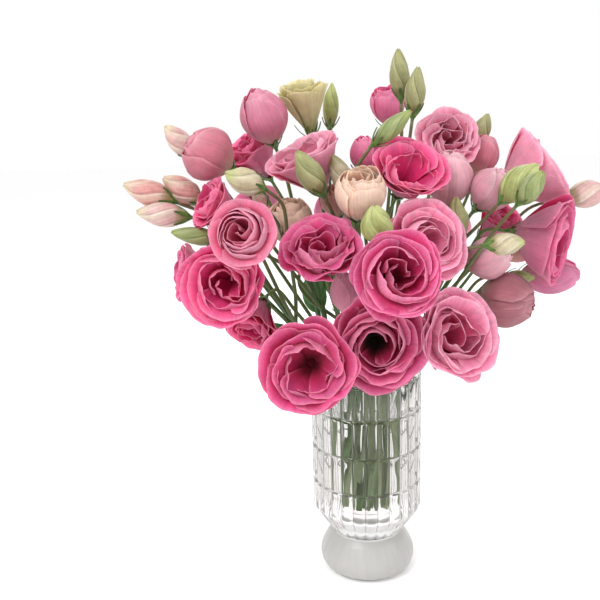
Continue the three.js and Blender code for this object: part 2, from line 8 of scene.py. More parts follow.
import bpy
import numpy as np
from mathutils import Matrix, Vector


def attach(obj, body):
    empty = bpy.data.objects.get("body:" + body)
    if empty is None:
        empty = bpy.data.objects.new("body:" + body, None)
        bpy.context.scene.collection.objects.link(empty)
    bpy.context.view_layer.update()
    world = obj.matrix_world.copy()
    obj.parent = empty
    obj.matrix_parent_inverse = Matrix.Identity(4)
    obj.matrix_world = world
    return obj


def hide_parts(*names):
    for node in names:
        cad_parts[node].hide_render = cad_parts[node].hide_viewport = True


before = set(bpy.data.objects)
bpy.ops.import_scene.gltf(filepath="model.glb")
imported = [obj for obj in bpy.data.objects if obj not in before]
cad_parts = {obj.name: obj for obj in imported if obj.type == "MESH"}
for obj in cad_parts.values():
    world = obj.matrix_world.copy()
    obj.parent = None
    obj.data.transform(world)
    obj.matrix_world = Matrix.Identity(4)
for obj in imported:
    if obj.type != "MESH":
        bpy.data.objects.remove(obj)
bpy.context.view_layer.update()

# ---------------------------------------------------------------- dimensions, as in the part's source
VASE = {
    "foot": [(30, 0), (37, 4), (39.5, 10.5), (38.3, 18), (33, 28), (28.5, 33)],  # radius, height
    "body": 45.0,
    "body_from": 57.5,
    "rim": 172.0,
    "flutes": 28,
    "flute_depth": 1.7,
    "bands": (82.0, 112.5, 144.0),  # heights of the cut rings
    "band_depth": 2.0,
    "band_half": 2.0,
    "inner": 38.0,
    "floor": 57.0,
    "cove_height": 9.0,  # of the slope between the floor and the inner wall
    "cove_width": 7.0,
    "lip": 3.0,  # how far the rim's outer edge is drawn in
    "lip_height": 1.5,
}
WATER_LEVEL = 145.0
GAP = 0.35  # between solids that touch
STEM_RADIUS = 1.9  # at the cut end
TWIG_RADIUS = 1.5  # of a side stalk
NECK_RADIUS = 1.25  # of every stalk below its calyx
STEM_FOOT = VASE["floor"] + 1.4  # height of the cut ends
CALYX_DEPTH = 4.5  # from a stalk's end to the calyx's rim
MOUTH_RINGS = {"outer": 29.0, "inner": 15.0}  # distance of the stems from the axis at the rim
STEM_TWIST = 35.0  # degrees that a stem winds round the axis inside the vase
FOOT_SPREAD = 0.48  # how far out a cut end is, as a share of its stem's place at the rim
EYE = np.array((-52.0, -590.0, 373.0))  # where the camera stands
MIDDLE = 0.6  # the point of a head that its place is given for, as a share of its length

# Each stem: its ring and angle at the rim (degrees, 0 = +X, 90 = +Y), then its heads, leader first.
STEMS = {
    "stem_01": ["outer", 187, ["bud_g08", "bud_g10", "bud_g09"]],
    "stem_02": ["outer", 209, ["bloom_17", "bud_g12", "bloom_19", "bud_g11"]],
    "stem_03": ["outer", 231, ["bloom_06", "bloom_07", "bloom_05", "bud_g07"]],
    "stem_04": ["outer", 165, ["bloom_16", "bloom_18", "bud_g21"]],
    "stem_05": ["outer", 253, ["bloom_03", "bloom_08"]],
    "stem_06": ["inner", 190, ["bloom_15", "bud_g06", "bloom_30"]],
    "stem_07": ["outer", 125, ["bloom_34", "bud_g05", "bloom_35"]],
    "stem_08": ["inner", 235, ["bloom_09", "bloom_10"]],
    "stem_09": ["inner", 275, ["bloom_31", "bud_g32", "bloom_33"]],
    "stem_10": ["outer", 275, ["bloom_01", "bloom_02", "bud_g13"]],
    "stem_11": ["inner", 315, ["bloom_12", "bud_g03", "bloom_21"]],
    "stem_12": ["inner", 70, ["bud_g01", "bud_g02", "bloom_20"]],
    "stem_13": ["inner", 0, ["bloom_13", "bloom_14"]],
    "stem_14": ["outer", 297, ["bloom_11", "bud_g18", "bloom_04"]],
    "stem_15": ["outer", 319, ["bloom_27", "bud_g16", "bud_g15"]],
    "stem_16": ["outer", 47, ["bloom_22", "bloom_28", "bud_g14"]],
    "stem_17": ["outer", 25, ["bloom_23", "bloom_29", "bud_g19"]],
    "stem_18": ["outer", 3, ["bloom_24", "bud_g22", "bloom_25"]],
    "stem_19": ["outer", 341, ["bloom_26", "bud_g17", "bloom_36"]],
    "stem_20": ["outer", 85, ["bloom_37", "bloom_38", "bloom_39"]],
}
# Each head: across and up where it is seen from EYE against the plane y = 0, its true y, the way it faces
# (degrees to the viewer's right, degrees up), its radius, its length, and its colours with a bloom's build.
HEADS = {
    "bloom_01": ["open", 25, 250, -115, -6, 17, 28, 36, "rose sail"],
    "bloom_02": ["open", 9.5, 196, -96, 2, 14, 31.5, 37, "black nested"],
    "bloom_03": ["open", -46, 178, -118, -4, 14, 29.5, 38, "deep cup"],
    "bloom_04": ["open", 70, 199, -83, 24, 24, 30.5, 38, "light sail"],
    "bloom_05": ["open", -94, 286, -92, -6, 16, 22, 30, "dusky rolled"],
    "bloom_06": ["open", -111, 248, -68, -10, 2, 29, 35, "vivid sail"],
    "bloom_07": ["open", -136, 257, -22, -75, 10, 21, 30, "rose nested"],
    "bloom_08": ["open", -89, 216, -50, -28, -38, 22.5, 33, "vivid ruffled"],
    "bloom_09": ["open", -34, 269, -68, -10, 48, 27, 35, "rose ruffled"],
    "bloom_10": ["half", -16, 240, -57, -15, 68, 10.5, 36, "pale closed"],
    "bloom_11": ["open", 45, 275, -72, 20, 24, 29, 35, "light nested"],
    "bloom_12": ["open", 33, 328, -50, 20, 44, 27, 35, "vivid cup"],
    "bloom_13": ["open", 63, 353, 10, 0, 28, 23, 32, "pale ruffled"],
    "bloom_14": ["half", 65.5, 328, -24, 0, 76, 16.5, 42, "shell closed"],
    "bloom_15": ["open", -42, 338, -22, -62, 62, 28, 41, "pale cup"],
    "bloom_16": ["half", -76, 378, -2, -55, 68, 17.5, 42, "mauve closed"],
    "bloom_17": ["half", -121, 350, -20, -64, 30, 19.5, 39, "coral closed"],
    "bloom_18": ["open", -84, 347, 34, -62, 55, 25, 38, "vivid ruffled"],
    "bloom_19": ["open", -114, 308, -40, -66, 30, 20, 32, "vivid ruffled"],
    "bloom_20": ["half", 18, 382, 34, -25, 70, 13, 32, "vivid rosebud"],
    "bloom_21": ["half", 0, 347, -8, -25, 70, 10.5, 30, "vivid closed"],
    "bloom_22": ["bell", 128, 328, 18, 82, 32, 33, 42, "pale bowl"],
    "bloom_23": ["bell", 141, 277, -26, 58, -8, 32, 42, "rose bowl"],
    "bloom_24": ["half", 150, 247, 20, 72, 4, 15.5, 48, "rose closed"],
    "bloom_25": ["half", 116, 227, -45, 60, -4, 20, 42, "dusty closed"],
    "bloom_26": ["half", 100, 263, -45, 66, 16, 15, 35, "shell closed"],
    "bloom_27": ["half", 99.5, 318, -32, 58, 52, 15, 34, "shell closed"],
    "bloom_28": ["half", 91, 344, 20, 60, 72, 13, 33, "coral closed"],
    "bloom_29": ["open", 103.5, 289, 14, 40, 42, 19, 34, "vivid ruffled"],
    "bloom_30": ["half", -58, 296, -14, -20, 70, 17, 36, "peach rosebud"],
    "bloom_31": ["half", -3, 316, -70, 0, 62, 17, 38, "peach rosebud"],
    "bloom_33": ["half", -23, 311, 2, -26, 60, 11, 26, "blush rosebud"],
    "bloom_34": ["open", -44, 383, 18, -45, 76, 20, 40, "cream trumpet"],
    "bloom_35": ["open", -80, 300, 88, -140, 26, 27, 36, "rose nested"],
    "bloom_36": ["half", 120, 276, 66, 120, 22, 18, 40, "coral closed"],
    "bloom_37": ["open", 56, 285, 96, 150, 22, 28, 36, "light sail"],
    "bloom_38": ["open", -14, 300, 104, -172, 34, 27, 36, "rose cup"],
    "bloom_39": ["half", 28, 336, 66, 165, 58, 18, 40, "pale closed"],
    "bud_g01": ["bud", 26.5, 407, 0, -30, 80, 7.5, 34, "olive"],
    "bud_g02": ["bud", 39, 394, -15, 20, 78, 7.5, 33, "olive"],
    "bud_g03": ["bud", 24.5, 367, -55, 72, 40, 6.5, 32, "green"],
    "bud_g05": ["bud", -24.5, 385, 50, 20, 80, 6.5, 34, "lime"],
    "bud_g06": ["bud", -44, 336, -58, -60, 56, 9, 34, "olive"],
    "bud_g07": ["bud", -95, 329, -72, -62, 24, 9, 28, "cream"],
    "bud_g08": ["bud", -170, 322, -20, -80, 22, 10, 36, "coral"],
    "bud_g09": ["bud", -143, 324, -12, -74, 36, 10, 32, "coral"],
    "bud_g10": ["bud", -161, 304, -28, -84, 8, 9, 36, "pink"],
    "bud_g11": ["bud", -136, 287, -45, -80, 12, 6.5, 33, "green"],
    "bud_g12": ["bud", -142, 361, 5, -66, 48, 9, 30, "pink"],
    "bud_g13": ["bud", 9, 294, -92, -20, 66, 10.5, 27, "lime"],
    "bud_g14": ["bud", 90, 363, 44, 50, 66, 7.5, 27, "olive"],
    "bud_g15": ["bud", 122.5, 323, -62, 56, 46, 11, 33, "lime"],
    "bud_g16": ["bud", 130.5, 319, -84, 40, 50, 7.8, 26, "green"],
    "bud_g17": ["bud", 114, 273, -78, 76, 4, 8, 23, "cream"],
    "bud_g18": ["bud", 71, 296, -50, -10, 76, 9, 34, "olive"],
    "bud_g19": ["bud", 177, 311, 28, 80, 10, 11, 34, "pink"],
    "bud_g21": ["bud", -82, 314, -54, -30, 40, 5, 15, "coral"],
    "bud_g22": ["bud", 125, 246, 5, 70, 0, 5.5, 22, "green"],
    "bud_g32": ["bud", -19, 333, -34, -70, 62, 8, 32, "cream"],
}
# Leaves: stem, how far up it (share of its free length), length, width, and turn round it in degrees.
LEAVES = [
    ["stem_08", 0.3, 44, 18, 205],
    ["stem_19", 0.32, 42, 16, 312],
    ["stem_14", 0.25, 34, 15, 330],
    ["stem_03", 0.3, 38, 14, 160],
    ["stem_07", 0.32, 44, 17, 90],
    ["stem_20", 0.3, 46, 18, 60],
    ["stem_16", 0.34, 42, 16, 84],
    ["stem_04", 0.26, 46, 20, 90],
    ["stem_20", 0.42, 40, 14, 150],
]

# ---------------------------------------------------------------- small helpers
TINY = 1e-9


def rad(degrees):
    return degrees * math.pi / 180


def chance(a, b):
    """A repeatable number from 0 to 1 for two whole numbers."""
    s = math.sin(a * 12.9898 + b * 78.233) * 43758.5453
    return s - math.floor(s)


def direction(azimuth, elevation):
    a, e = rad(azimuth), rad(elevation)
    return np.array((math.sin(a) * math.cos(e), -math.cos(a) * math.cos(e), math.sin(e)))


def unit(v):
    return v / np.maximum(np.linalg.norm(v, axis=-1, keepdims=True), TINY)


def smooth(low, high, x):
    t = np.clip((x - low) / (high - low), 0, 1)
    return t * t * (3 - 2 * t)


def stacked(*parts):
    """Points from their three coordinates, which are spread to one shape."""
    return np.stack(np.broadcast_arrays(*parts), axis=-1)


def round_points(r, turn, z):
    """Points at a distance and an angle round the Z axis."""
    return stacked(r * np.cos(turn), r * np.sin(turn), z)


def sheet(columns, rows):
    """Places across a sheet, from -1 to 1 in one row, and up it, from 0 to 1 in one column."""
    return np.linspace(-1, 1, columns)[None, :], np.linspace(0, 1, rows)[:, None]


def colour(code):
    """A linear colour from its usual six-digit code."""
    c = np.array([int(code[i : i + 2], 16) for i in (0, 2, 4)]) / 255
    return np.where(c <= 0.04045, c / 12.92, ((c + 0.055) / 1.055) ** 2.4)


def mix(a, b, t):
    t = np.asarray(t)[..., None]
    return a * (1 - t) + b * t


# ---------------------------------------------------------------- heads
class Head:
    """A bloom or bud: where it is, which way it faces, how large it is and what it wears."""

    def __init__(self, name, index):
        self.name = name
        self.kind, across, up, depth, azimuth, elevation, self.radius, self.length, wear = HEADS[name]
        self.wear = wear.split()
        seen = np.array((across, 0.0, up)) - EYE
        middle = EYE + seen * (depth - EYE[1]) / -EYE[1]
        self.axis = direction(azimuth, elevation)
        self.base = middle - MIDDLE * self.length * self.axis
        self.side = unit(np.cross((0.0, 0.0, 1.0), self.axis))
        self.up = np.cross(self.axis, self.side)
        self.seed = index + 1

    def place(self, p):
        """Points of the head's own frame, whose +Z is its axis, in the row frame."""
        return self.base + p[..., :1] * self.side + p[..., 1:2] * self.up + p[..., 2:3] * self.axis


heads = {name: Head(name, i) for i, name in enumerate(HEADS)}


# ---------------------------------------------------------------- stems: routes, as in the part's source
CLEARANCE = 3.0  # between a stalk and a head
APART = 2.8  # between two stalks
RIM_CLEARANCE = 6.0  # above the vase's rim
REACH = 60.0  # stalks further apart than this aren't compared
ROUNDS = 140
PUSH, LIFT, SMOOTHING = 0.6, 0.5, 0.14  # shares of each correction that a round makes
# How long a stalk keeps its first and its last direction, as shares of its reach.
START_PULL, END_PULL = 0.38, 0.3
LEADER_STEPS, TWIG_STEPS = 7, 5  # spans of a main and of a side stalk
# The balls that stand for a head of each kind: the share of its length up to each, and of its radius.
BALLS = {
    "open": ((0.22, 0.34), (0.5, 0.6), (0.8, 0.86)),
    "bell": ((0.22, 0.44), (0.5, 0.74), (0.8, 0.9)),
    "half": ((0.3, 0.9), (0.62, 1), (0.9, 0.7)),
    "bud": ((0.35, 1), (0.7, 0.85)),
}


class Route:
    """The line that one stalk follows, from the vase or from its main stem to its head."""

    def __init__(self, stem, head, points, thick, foot=None, source=None, at=0):
        self.stem, self.head, self.points, self.thick = stem, head, points, thick
        self.foot, self.source, self.at = foot, source, at


def curve_to(start, heading, head, count):
    end = head.base - (GAP + CALYX_DEPTH) * head.axis
    reach = np.linalg.norm(end - start)
    a, b = start + START_PULL * reach * heading, end - END_PULL * reach * head.axis
    t = np.linspace(0, 1, count + 1)[:, None]
    return (1 - t) ** 3 * start + 3 * (1 - t) ** 2 * t * a + 3 * (1 - t) * t**2 * b + t**3 * end


def stem_routes(name):
    """A stem's main stalk, which leads to its first head, and a side stalk for each other head."""
    ring, angle, members = STEMS[name]
    radius = MOUTH_RINGS[ring]

    def spot(turn, out, height):
        return np.array((out * math.cos(rad(turn)), out * math.sin(rad(turn)), height))

    mouth = spot(angle, radius, VASE["rim"])
    foot = spot(angle + STEM_TWIST, FOOT_SPREAD * radius, STEM_FOOT)
    leader = heads[members[0]]
    free = curve_to(mouth, unit(mouth - foot), leader, LEADER_STEPS)
    main = Route(name, leader, free, STEM_RADIUS, foot=foot)
    made = [main]
    for i, member in enumerate(members[1:]):
        at = 1 + i % 3
        head = heads[member]
        heading = unit(unit(free[at + 1] - free[at]) + unit(head.base - free[at]))
        points = curve_to(free[at], heading, head, TWIG_STEPS)
        made.append(Route(name, head, points, TWIG_RADIUS, source=main, at=at))
    return made


def dot(a, b):
    return (a * b).sum(axis=1)


def nearest(start_a, span_a, start_b, span_b):
    """How far along two straight spans they come nearest, and the way there from the second to the first."""
    apart = start_a - start_b
    square_a, square_b, both = dot(span_a, span_a), dot(span_b, span_b), dot(span_a, span_b)
    along_a, along_b = dot(span_a, apart), dot(span_b, apart)
    base = square_a * square_b - both * both
    a = np.clip((both * along_b - along_a * square_b) / np.maximum(base, TINY), 0, 1)
    a = np.where(base > TINY, a, 0.5)
    b = np.clip((both * a + along_b) / square_b, 0, 1)
    a = np.clip((both * b - along_a) / square_a, 0, 1)
    return a, b, apart + span_a * a[:, None] - span_b * b[:, None]


def settle(routes):
    """Bends the stalks clear of the heads and of each other, with their ends held."""
    sizes = [len(r.points) for r in routes]
    first = np.cumsum([0] + sizes)
    place = np.concatenate([r.points for r in routes])
    owner = np.repeat(np.arange(len(routes)), sizes)
    step = np.arange(len(place)) - first[owner]
    last = np.array(sizes)[owner]
    free = (step > 0) & (step < last - 2)
    thick = np.array([r.thick for r in routes])
    source = np.array([routes.index(r.source) if r.source else -1 for r in routes])

    # which stalk points are kept clear of which balls
    balls = [(h, up, size) for h in heads.values() for up, size in BALLS[h.kind]]
    centres = np.array([h.base + up * h.length * h.axis for h, up, size in balls])
    radii = np.array([size * h.radius for h, up, size in balls])
    own = np.array([[h is routes[o].head for h, up, size in balls] for o in owner])
    tested = free[:, None] & ~(own & (step > last - 4)[:, None])
    need = radii[None, :] + CLEARANCE + thick[owner][:, None]

    # which pairs of stalk spans are kept apart: not those of one stalk, nor near the fork that two share
    starts = np.flatnonzero(step < last - 1)
    m, n = np.triu_indices(len(starts), 1)
    i, j = starts[m], starts[n]
    a, b = owner[i], owner[j]
    sisters = (source[a] >= 0) & (source[a] == source[b])
    related = (a == b) | (source[a] == b) | (source[b] == a) | sisters
    keep = ~(related & ((a == b) | (step[i] < 3) | (step[j] < 3)))
    i, j, a, b = i[keep], j[keep], a[keep], b[keep]
    gap = thick[a] + thick[b] + APART

    for _ in range(ROUNDS):
        moves = np.zeros_like(place)
        away = place[:, None] - centres[None]
        distance = np.linalg.norm(away, axis=2)
        hit = tested & (distance < need)
        push = np.where(hit, PUSH * (need / np.maximum(distance, 1e-6) - 1), 0)
        moves += (away * push[..., None]).sum(axis=1)
        low = VASE["rim"] + RIM_CLEARANCE - place[:, 2]
        moves[:, 2] += np.where(free & (low > 0), LIFT * low, 0)
        inner = np.flatnonzero(free)
        moves[inner] += SMOOTHING * (0.5 * (place[inner - 1] + place[inner + 1]) - place[inner])

        near = np.linalg.norm(place[i] - place[j], axis=1) <= REACH
        p, q, wanted = i[near], j[near], gap[near]
        s, t, between = nearest(place[p], place[p + 1] - place[p], place[q], place[q + 1] - place[q])
        distance = np.linalg.norm(between, axis=1)
        shove = between * (0.5 * (wanted / np.maximum(distance, 1e-6) - 1))[:, None]
        for at, share, sign in ((p, 1 - s, 1), (p + 1, s, 1), (q, 1 - t, -1), (q + 1, t, -1)):
            use = (distance < wanted) & free[at]
            weight = sign * np.minimum(1, 2 * share)
            np.add.at(moves, at[use], (shove * weight[:, None])[use])

        place[inner] += moves[inner]
        for k, route in enumerate(routes):
            if route.source:
                place[first[k]] = place[first[source[k]] + route.at]
    for k, route in enumerate(routes):
        route.points = place[first[k] : first[k + 1]]


routes = [route for name in STEMS for route in stem_routes(name)]
settle(routes)


# ---------------------------------------------------------------- meshes
class Form:
    """Collects grids of points in millimetres and makes one mesh of them, with each point's colour and grain.
    The grain is a place in the pattern of veins and streaks."""

    def __init__(self):
        self.points, self.tints, self.grains, self.sharp = [], [], [], []
        self.quads, self.tris = [], []
        self.count = 0

    def add(self, points, tints, grains, quads, tris=None, sharp=None, slot=0):
        n = len(points)
        self.points.append(points)
        self.tints.append(np.broadcast_to(tints, (n, 3)))
        self.grains.append(np.broadcast_to(grains, (n, 3)))
        self.sharp.append(np.zeros(n, bool) if sharp is None else sharp)
        tris = np.zeros((0, 3), int) if tris is None else tris
        self.quads.append((quads + self.count, slot))
        self.tris.append((tris + self.count, slot))
        self.count += n

    def make(self, name, materials):
        points = np.concatenate(self.points) * 0.001
        quads = np.concatenate([q for q, slot in self.quads])
        tris = np.concatenate([t for t, slot in self.tris])
        slots = np.concatenate([np.full(len(f), slot) for f, slot in self.quads + self.tris])
        mesh = bpy.data.meshes.new(name)
        mesh.vertices.add(len(points))
        mesh.vertices.foreach_set("co", points.ravel())
        loops = np.concatenate([quads.ravel(), tris.ravel()])
        mesh.loops.add(len(loops))
        mesh.loops.foreach_set("vertex_index", loops)
        starts = np.concatenate([np.arange(len(quads)) * 4, len(quads) * 4 + np.arange(len(tris)) * 3])
        mesh.polygons.add(len(starts))
        mesh.polygons.foreach_set("loop_start", starts)
        mesh.polygons.foreach_set("material_index", slots)
        mesh.polygons.foreach_set("use_smooth", np.ones(len(starts), bool))
        mesh.update(calc_edges=True)
        tint = mesh.attributes.new("tint", "FLOAT_COLOR", "POINT")
        tints = np.concatenate(self.tints)
        tint.data.foreach_set("color", np.column_stack([tints, np.ones(len(tints))]).ravel())
        grain = mesh.attributes.new("grain", "FLOAT_VECTOR", "POINT")
        grain.data.foreach_set("vector", np.concatenate(self.grains).ravel())
        sharp = np.concatenate(self.sharp)
        if sharp.any():
            ends = np.zeros(len(mesh.edges) * 2, int)
            mesh.edges.foreach_get("vertices", ends)
            edge = mesh.attributes.new("sharp_edge", "BOOLEAN", "EDGE")
            edge.data.foreach_set("value", sharp[ends.reshape(-1, 2)].all(axis=1))
        for material in materials:
            mesh.materials.append(material)
        return show(name, mesh)


def show(name, data):
    """A new object in the scene."""
    made = bpy.data.objects.new(name, data)
    bpy.context.scene.collection.objects.link(made)
    return made


def grid_quads(rows, columns, closed=False):
    """Faces over rows by columns points; closed joins the last column to the first."""
    j, i = np.meshgrid(np.arange(rows - 1), np.arange(columns if closed else columns - 1), indexing="ij")
    k = (i + 1) % columns
    a, b, c, d = j * columns + i, j * columns + k, (j + 1) * columns + k, (j + 1) * columns + i
    return np.stack([a, b, c, d], axis=-1).reshape(-1, 4)


def fan(centre, ring):
    """Triangles from the point numbered centre to a closed ring of numbered points."""
    return np.stack([np.full(len(ring), centre), ring, np.roll(ring, -1)], axis=1)


def end_fans(count, sides):
    """Triangles over both ends of count points in rings of sides, with the ends' own points after them."""
    ring = np.arange(sides)
    return fan(count, ring)[:, [0, 2, 1]], fan(count + 1, count - sides + ring)


def shell(form, middle, thickness, front, back, grain):
    """A thin closed sheet round a grid of points, with a colour for each face."""
    rows, columns = middle.shape[:2]
    across, along = np.gradient(middle, axis=1), np.gradient(middle, axis=0)
    normal = unit(np.cross(across, along))
    half = 0.5 * thickness[..., None] * normal
    n = rows * columns
    quads = grid_quads(rows, columns)
    index = np.arange(n).reshape(rows, columns)
    loop = np.concatenate([index[0, :-1], index[:-1, -1], index[-1, :0:-1], index[:0:-1, 0]])
    following = np.roll(loop, -1)
    rim = np.stack([n + loop, n + following, following, loop], axis=1)
    points = np.concatenate([(middle + half).reshape(n, 3), (middle - half).reshape(n, 3)])
    tints = np.concatenate([front.reshape(n, 3), back.reshape(n, 3)])
    grains = np.tile(grain.reshape(n, 3), (2, 1))
    sharp = np.zeros(2 * n, bool)
    sharp[loop] = sharp[n + loop] = True
    form.add(points, tints, grains, np.concatenate([quads, n + quads[:, ::-1], rim]), sharp=sharp)


FIRST_SIDE = (0.31, 0.95, 0.05)  # a slanting direction that no stalk follows


def tube(form, points, radii, sides, tints, seed):
    """A closed round rod along points, with a colour for each or one for all."""
    along = unit(np.gradient(points, axis=0))
    side = np.array(FIRST_SIDE)
    turn = 2 * np.pi * np.arange(sides) / sides
    rings = []
    for k, origin in enumerate(points):
        side = unit(side - side.dot(along[k]) * along[k])
        up = np.cross(along[k], side)
        rings.append(origin + radii[k] * (np.cos(turn)[:, None] * side + np.sin(turn)[:, None] * up))
    body = np.array(rings).reshape(-1, 3)
    low, high = end_fans(len(body), sides)
    length = 0.1 * np.cumsum(np.concatenate([[0], np.linalg.norm(np.diff(points, axis=0), axis=1)]))
    grain = stacked(6 * np.arange(sides)[None, :] / sides, length[:, None], seed).reshape(-1, 3)
    grain = np.concatenate([grain, [[0, 0, seed]], [[0, length[-1], seed]]])
    shades = np.repeat(np.broadcast_to(tints, (len(points), 3)), sides, axis=0)
    shades = np.concatenate([shades, shades[:1], shades[-1:]])
    body = np.concatenate([body, points[:1], points[-1:]])
    form.add(body, shades, grain, grid_quads(len(points), sides, closed=True), np.concatenate([low, high]))


def spline(points, spans):
    """A smooth line through points, with spans steps between each two."""
    ends = np.concatenate([[2 * points[0] - points[1]], points, [2 * points[-1] - points[-2]]])
    t = (np.arange(spans) / spans)[:, None]
    made = []
    for p0, p1, p2, p3 in zip(ends, ends[1:], ends[2:], ends[3:]):
        slope, bend, twist = p2 - p0, 2 * p0 - 5 * p1 + 4 * p2 - p3, 3 * p1 - p0 - 3 * p2 + p3
        made.append(0.5 * (2 * p1 + slope * t + bend * t**2 + twist * t**3))
    return np.concatenate(made + [points[-1:]])


# ---------------------------------------------------------------- blooms
# A flower's colours: its throat's bottom, its throat, and a petal's inner face, rim (the colour of its
# painted highlights), outer face and foot.
LOOKS = {
    "rose": "c82a5c e83e84 ec66a6 f8aed0 e698ba dfa6b2",
    "deep": "b02a48 dc3872 e25898 f5a4c6 e290b0 de98aa",
    "black": "34301a c82e60 e25c98 f6b0ce e49ab8 e2a8b4",
    "vivid": "e02a76 f24490 f664a4 f9b0d0 ee8cb6 e4a6b4",
    "light": "e25488 f07eac f6a4c6 fbd6e4 f2b4cc eec0c6",
    "dusky": "da466c ec6690 f088aa f6c0d4 e8aec6 e3b6be",
    "pale": "e06684 f08aa8 f5b0ca fbdae6 f3b2cc f1c3c8",
    "mauve": "bc3a66 da5680 e06c94 f2c0d0 e18eaa e0b4b0",
    "shell": "c85a72 e37c98 ed9cb4 fbe2e8 f1c0cc df9aa2",
    "coral": "c0545e dc6e84 e28096 f2bcc8 dd8c9e dcb89e",
    "dusty": "9c444c be5a68 c87484 dca4ae be7d88 cfb09a",
    "blush": "c47468 e6a49a eebcb4 f6dcd2 ecbcb4 e0d0ac",
    "peach": "cea280 eac4ac f2dac6 faecde f5dac8 d8d6a4",
    "cream": "8c8a4a cdbf86 e2d8a8 f4efcf e2dcb0 b9c277",
}
THROAT_SHADE = colour("30301a")
PETAL_THICKNESS = 0.5
OUTER_ROWS, INNER_ROWS = 15, 13  # of points up a petal
COLUMNS, COLUMNS_PER_MM = (11, 27), 2.4  # least and most across one, and how they grow with its width
OVARY_FOOT = 2.4
# The ovary and its stigma: share of the head's length, share of its radius.
OVARY = ((0.0, 0.0), (0.05, 0.1), (0.1, 0.15), (0.14, 0.12), (0.17, 0.05), (0.3, 0.02))

# The sides of a petal as cubics, from flaring by way of a bell and a cup to wrapped over the mouth.
FLARED, UPRIGHT = (0.07, 1.22, -0.29, 0), (0.075, 0.98, -0.06, 0)
BELL, CUPPED = (0.08, 1.85, -1.04, 0.11), (0.12, 2.4, -1.57, -0.09)
ROUND, WRAPPED, TIPPED = (0.1, 2.75, -2.12, 0.05), (0.1, 3.35, -3.26, 0.26), (0.1, 3.35, -3.1, -0.13)
# How fast a petal of each side rises at its root, against its mean.
ARCH = {FLARED: 1.35, UPRIGHT: 1.35, BELL: 1.35, CUPPED: 1.3, ROUND: 1.1, WRAPPED: 1.0, TIPPED: 1.0}
PLAIN_RIM = dict(roll=0.0, frill=1.0, notch=1.0, uneven=1.0, lobe=0.15)


def whorl(count, reach, rise, side, spread, overlap, root, turn, **rim):
    """How many petals, their rim's reach and rise as shares of the head's, their side, how wide each is
    against its place, how far its edges lie out and in, its root's height in mm and its turn. Then for the
    rim: how far it rolls out, how much it waves, is notched and differs, and how far its corners fall."""
    shape = dict(count=count, reach=reach, rise=rise, side=side, spread=spread, overlap=overlap)
    return {**PLAIN_RIM, **rim, **shape, "root": root, "turn": turn}


